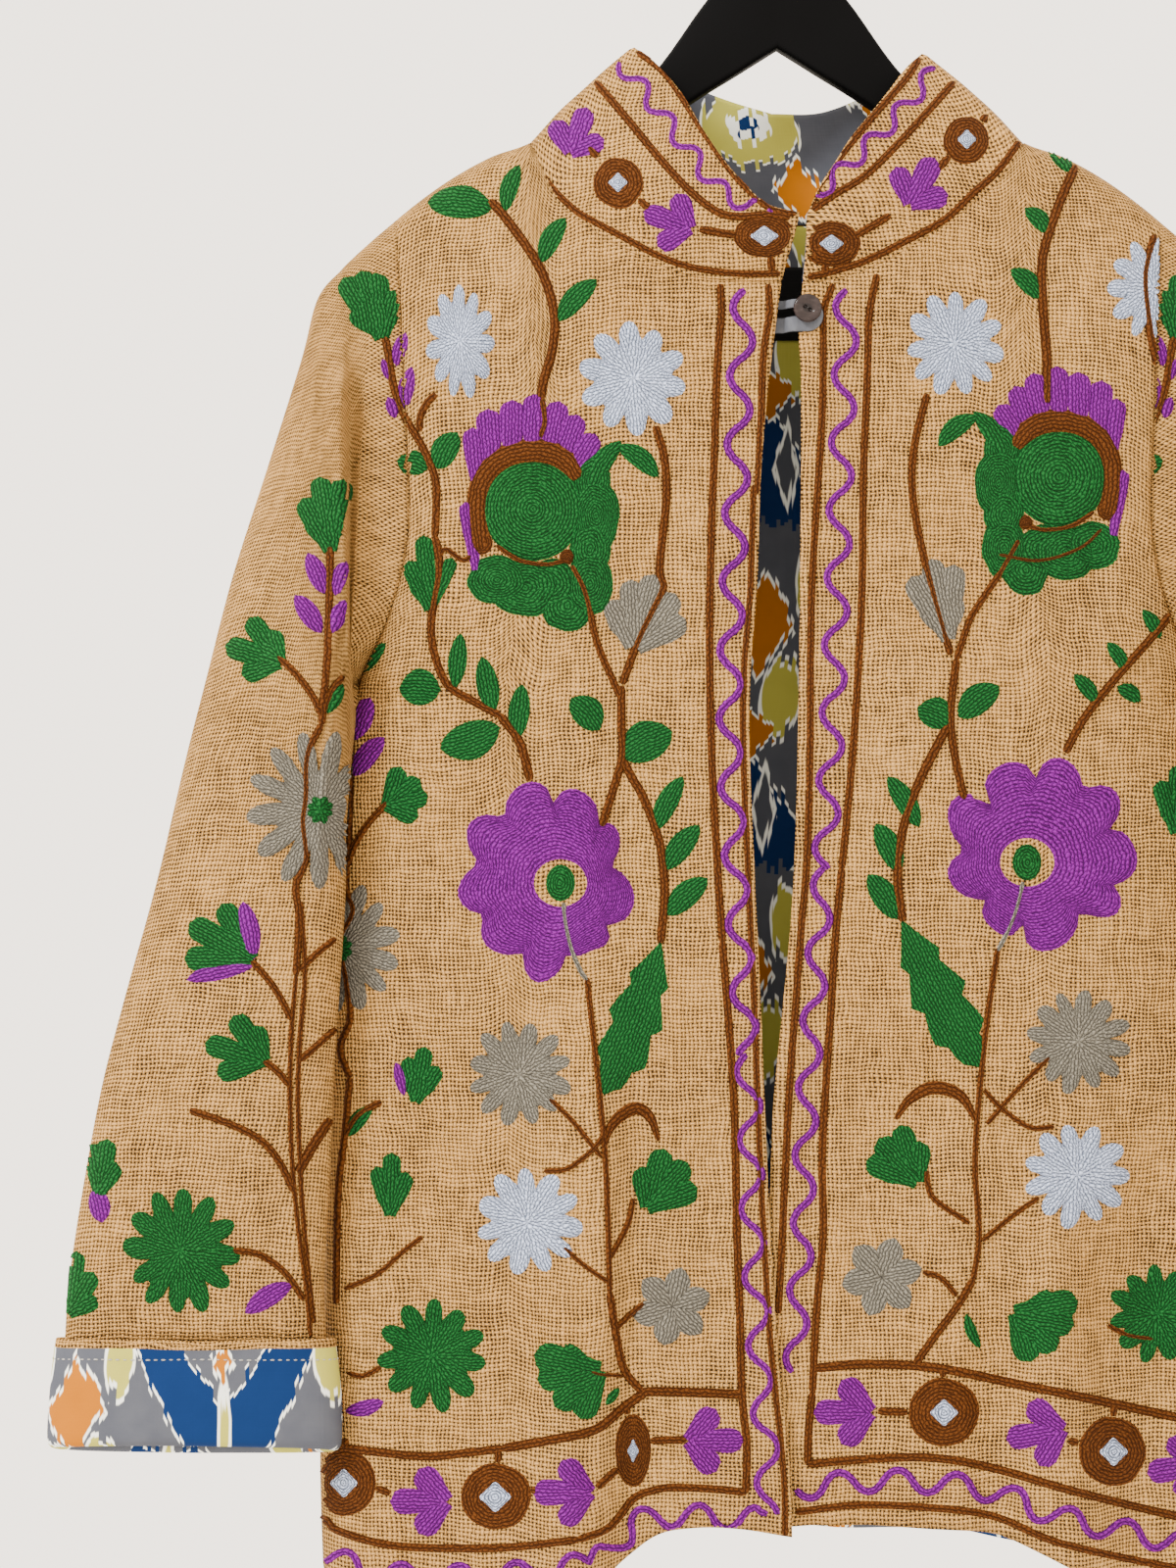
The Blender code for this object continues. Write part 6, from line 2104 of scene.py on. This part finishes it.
def stitch_tree():
    """Geometry nodes that lay short rounded stitches along the edges of a mesh."""
    tree = bpy.data.node_groups.new("stitches", "GeometryNodeTree")
    sockets = {}
    for name, kind in (
        ("Geometry", "NodeSocketGeometry"),
        ("Step", "NodeSocketFloat"),
        ("Length", "NodeSocketFloat"),
        ("Thickness", "NodeSocketFloat"),
        ("Seed", "NodeSocketInt"),
        ("Finish", "NodeSocketMaterial"),
    ):
        sockets[name] = tree.interface.new_socket(name=name, in_out="INPUT", socket_type=kind)
    tree.interface.new_socket(name="Geometry", in_out="OUTPUT", socket_type="NodeSocketGeometry")

    def add(kind, links=(), **settings):
        node = tree.nodes.new(kind)
        for name, value in settings.items():
            setattr(node, name, value)
        for key, value in dict(links).items():
            if hasattr(value, "is_output"):
                tree.links.new(value, node.inputs[key])
            else:
                node.inputs[key].default_value = value
        return node

    given = add("NodeGroupInput").outputs
    curve = add("GeometryNodeMeshToCurve", {"Mesh": given["Geometry"]})
    marks = add(
        "GeometryNodeResampleCurve",
        {"Curve": curve.outputs["Curve"], "Length": given["Step"]},
        mode="LENGTH",
    )
    ball = add("GeometryNodeMeshUVSphere", {"Segments": 8, "Rings": 5, "Radius": 1.0})
    size = add("ShaderNodeCombineXYZ", {0: given["Length"], 1: given["Thickness"], 2: given["Thickness"]})
    stitch = add("GeometryNodeTransform", {"Geometry": ball.outputs["Mesh"], "Scale": size.outputs[0]})
    tangent = add("GeometryNodeInputTangent")
    turn = add("FunctionNodeAlignRotationToVector", {"Vector": tangent.outputs[0]}, axis="X")
    uneven = add("FunctionNodeRandomValue", {2: 0.8, 3: 1.15, "Seed": given["Seed"]}, data_type="FLOAT")
    laid = add(
        "GeometryNodeInstanceOnPoints",
        {
            "Points": marks.outputs["Curve"],
            "Instance": stitch.outputs["Geometry"],
            "Rotation": turn.outputs[0],
            "Scale": uneven.outputs[1],
        },
    )
    real = add("GeometryNodeRealizeInstances", {"Geometry": laid.outputs["Instances"]})
    dyed = add("GeometryNodeSetMaterial", {"Geometry": real.outputs["Geometry"], "Material": given["Finish"]})
    add("NodeGroupOutput", {"Geometry": dyed.outputs["Geometry"]})
    return tree, {name: socket.identifier for name, socket in sockets.items()}


def stitches(name, line, finish, recipe):
    """One piece of stitches along points in millimetres."""
    tree, names = recipe
    points = [tuple(c * METRES for c in point) for point in line]
    edges = [(n, n + 1) for n in range(len(line) - 1)]
    mesh = bpy.data.meshes.new(name + "_lines")
    mesh.from_pydata(points, edges, [])
    guide = add_object(name + "_lines", mesh)
    layer = guide.modifiers.new("stitches", "NODES")
    layer.node_group = tree
    for key, value in (
        ("Step", STITCH_SPACING * METRES),
        ("Length", STITCH_LENGTH * METRES / 2),
        ("Thickness", STITCH_THICK * METRES / 2),
        ("Seed", 7),
        ("Finish", finish),
    ):
        layer[names[key]] = value
    view = bpy.context.evaluated_depsgraph_get()
    made = bpy.data.meshes.new_from_object(guide.evaluated_get(view), depsgraph=view)
    guide.modifiers.remove(layer)
    bpy.data.objects.remove(guide)
    made.shade_smooth()
    return add_object(name, made)


# The cuffs' stitches: the step of the outline they lie on, and their spacing, length and thickness.
CUFF_STITCH_LEG = 3
STITCH_SPACING = 3.6
STITCH_LENGTH = 2.2
STITCH_THICK = 0.7


def cotton_thread(name, light, dark):
    finish = Finish(name)
    spot = finish.spot()
    twist = finish.noise(spot, 1400, 2)
    finish.set(Base_Color=finish.blend(twist, dark, light), Roughness=0.7)
    return finish.material


def make_stitches(grounds):
    """Plain sewing round the cuffs, and the button's shank."""
    recipe = stitch_tree()
    pale = cotton_thread("pale_thread", (0.36, 0.35, 0.32), (0.2, 0.19, 0.17))
    dark = cotton_thread("shank_thread", (0.05, 0.04, 0.03), (0.02, 0.015, 0.012))
    made = {"button_shank": make_shank(dark)}
    for word in SIDES:
        sections = grounds["cuff_" + word]
        ring = sections[CUFF_STITCH_LEG]
        out = ring - ring.mean(axis=0)
        out /= np.linalg.norm(out, axis=1, keepdims=True)
        line = ring + out * 0.1
        name = "cuff_%s_stitches" % word
        made[name] = stitches(name, [*line, line[0]], pale, recipe)
    return made


# The back is built on every third row and every second column of its grid.
THINNED = np.s_[::3, ::2]
COLLAR_RIM = 0.4


def wall(name, grid, ways, flat, depths, edges, materials, share=0.3, closed=False, bound=0):
    """A wall of cloth between two depths under a grid, with its named edges drawn together."""
    outer, inner = rounded(grid - ways * depths[0], grid - ways * depths[1], edges, share)
    return shell(name, outer, inner, flat, closed, materials, bound)


def make_pieces():
    """All cloth, the button, the loop, the label and the hanger."""
    jute = jute_cloth()
    lining = printed_cotton("printed_lining", *LINING_PRINT_AT)
    neck_lining = printed_cotton("printed_neck", *NECK_PRINT_AT)
    cuff_print = printed_cotton("printed_cuff", *CUFF_PRINT_AT)
    tape = label_tape()

    fronts = {side: front_grid(side) for side in SIDES.values()}
    back = back_grid()
    collar = collar_grid(fronts, back)
    pieces = {}
    grounds = {"back": back, "collar": collar}
    lined = (0, CLOTH)
    behind_cloth = (CLOTH + GAP, CLOTH + GAP + LINING)
    behind_lining = (CLOTH + LINING + 2 * GAP, CLOTH + LINING + 2 * GAP + LABEL)

    for word, side in SIDES.items():
        front = fronts[side]
        ways = grid_normals(front)
        flat = cloth_lengths(front)
        name = "front_" + word
        pieces[name] = wall(name + "_cloth", front, ways, flat, lined, ("foot", "first"), (jute, lining))
        grounds[name] = front

        rings = sleeve_grid(side, front, back)
        ways = grid_normals(rings, True)
        flat = ring_lengths(rings)
        thick = [CLOTH * mix(SLEEVE_HEAD_THIN, 1, smooth_step(0, FINE_RINGS, n)) for n in range(len(rings))]
        depths = (0, np.array(thick)[:, None, None])
        bound = SLEEVE_BOUND_RINGS * FINE_RINGS
        name = "sleeve_" + word
        pieces[name] = wall(
            name + "_cloth", rings, ways, flat, depths, ("foot",), (jute, lining), closed=True, bound=bound
        )
        grounds[name] = rings
        pieces["cuff_" + word], grounds["cuff_" + word] = make_cuff(word, rings, ways, cuff_print, jute)

    back_ways = grid_normals(back)
    back_flat = cloth_lengths(back)
    thin = [values[THINNED] for values in (back, back_ways, back_flat)]
    pieces["back"] = wall("back_cloth", *thin, lined, ("foot",), (jute, jute))
    pieces["back_lining"] = wall("back_lining_cloth", *thin, behind_cloth, ("foot",), (lining, lining))

    middle = (NECK_COLUMNS + SHOULDER_COLUMNS) * FINE_COLUMNS
    half = LABEL_COLUMNS * FINE_COLUMNS
    patch = np.s_[LABEL_ROWS[0] * FINE_ROWS:LABEL_ROWS[1] * FINE_ROWS + 1, middle - half:middle + half + 1]
    cut = [values[patch] for values in (back, back_ways, back_flat)]
    pieces["label"] = wall("neck_label", *cut, behind_lining, ("top", "foot", "first", "last"), (tape, tape))

    round_neck = (collar, grid_normals(collar), cloth_lengths(collar))
    edges = ("foot", "first", "last")
    pieces["collar"] = wall("collar_cloth", *round_neck, lined, edges, (jute, jute), COLLAR_RIM)
    pieces["collar_lining"] = wall(
        "collar_lining_cloth", *round_neck, behind_cloth, edges, (neck_lining, neck_lining), COLLAR_RIM
    )

    pieces["button"] = make_button(button_shell())
    pieces["button_loop"] = make_loop(loop_cotton())
    pieces["hanger"] = make_hanger(satin_black())
    pieces["hanger_hook"] = make_hook(drawn_wire())
    return pieces, grounds


def set_stage():
    """A plain pale floor far below, pale surroundings and soft studio light."""
    world = bpy.data.worlds.new("studio")
    bpy.context.scene.world = world
    world.use_nodes = True
    air = world.node_tree.nodes["Background"].inputs
    air[0].default_value = (*BACKDROP, 1)
    air[1].default_value = WORLD_LIGHT
    mesh = bpy.data.meshes.new("floor")
    half = FLOOR_HALF
    corners = [(-half, -half, FLOOR_Z), (half, -half, FLOOR_Z), (half, half, FLOOR_Z), (-half, half, FLOOR_Z)]
    mesh.from_pydata(corners, [], [(0, 1, 2, 3)])
    finish = Finish("floor")
    spot = finish.spot()
    cloud = finish.noise(spot, 3, 2)
    finish.set(Base_Color=finish.blend(cloud, (0.80, 0.79, 0.77), (0.84, 0.83, 0.81)), Roughness=0.9)
    mesh.materials.append(finish.material)
    floor = add_object("floor", mesh)
    middle = Vector((0, 0, MIDDLE_Z))
    for name, place, size, power in LIGHTS:
        data = bpy.data.lights.new(name, "AREA")
        data.shape = "DISK"
        data.size = size
        data.energy = power
        lamp = add_object(name, data)
        lamp.location = place
        lamp.rotation_euler = (middle - Vector(place)).to_track_quat("-Z", "Y").to_euler()


def set_camera():
    """The photograph's camera: level, in front of the jacket, with the frame's height across its sensor."""
    data = bpy.data.cameras.new("photograph")
    data.sensor_fit = "VERTICAL"
    data.sensor_height = SENSOR
    data.lens = SENSOR * CLOTH_DISTANCE / (PHOTO_HEIGHT * PIXEL)
    data.clip_start = 0.01
    camera = add_object("photograph", data)
    camera.location = EYE * METRES
    camera.rotation_euler = (math.pi / 2, 0, 0)
    bpy.context.scene.camera = camera


def hang(pieces, sewn):
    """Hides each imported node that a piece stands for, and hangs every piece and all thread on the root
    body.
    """
    for node, piece in pieces.items():
        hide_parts(node)
        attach(piece, "root")
    for piece in sewn.values():
        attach(piece, "root")


# Where the print's mirror axis lies across and its first row starts, on each lining, in millimetres.
LINING_PRINT_AT = (-71.0, -185.5)
NECK_PRINT_AT = (-12.6, -46.0)
CUFF_PRINT_AT = (16.5, -7.0)
BACKDROP = (1.0, 0.90, 0.78)
WORLD_LIGHT = 3.5
FLOOR_Z = -1.75
FLOOR_HALF = 2.4
MIDDLE_Z = -0.45
# Columns: name, place in metres, size in metres, power in watts.
LIGHTS = (
    ("key", (-1.7, -1.3, 1.1), 0.6, 120), ("fill", (1.8, -1.8, 0.1), 1.6, 6),
    ("behind", (0.9, 2.0, 0.9), 1.2, 40),
)


THREADS = [chain_stitch(name) for name in THREAD_COLOURS]
pieces, grounds = make_pieces()
sewn = sew_all(grounds)
sewn.update(make_stitches(grounds))
set_stage()
set_camera()
hang(pieces, sewn)
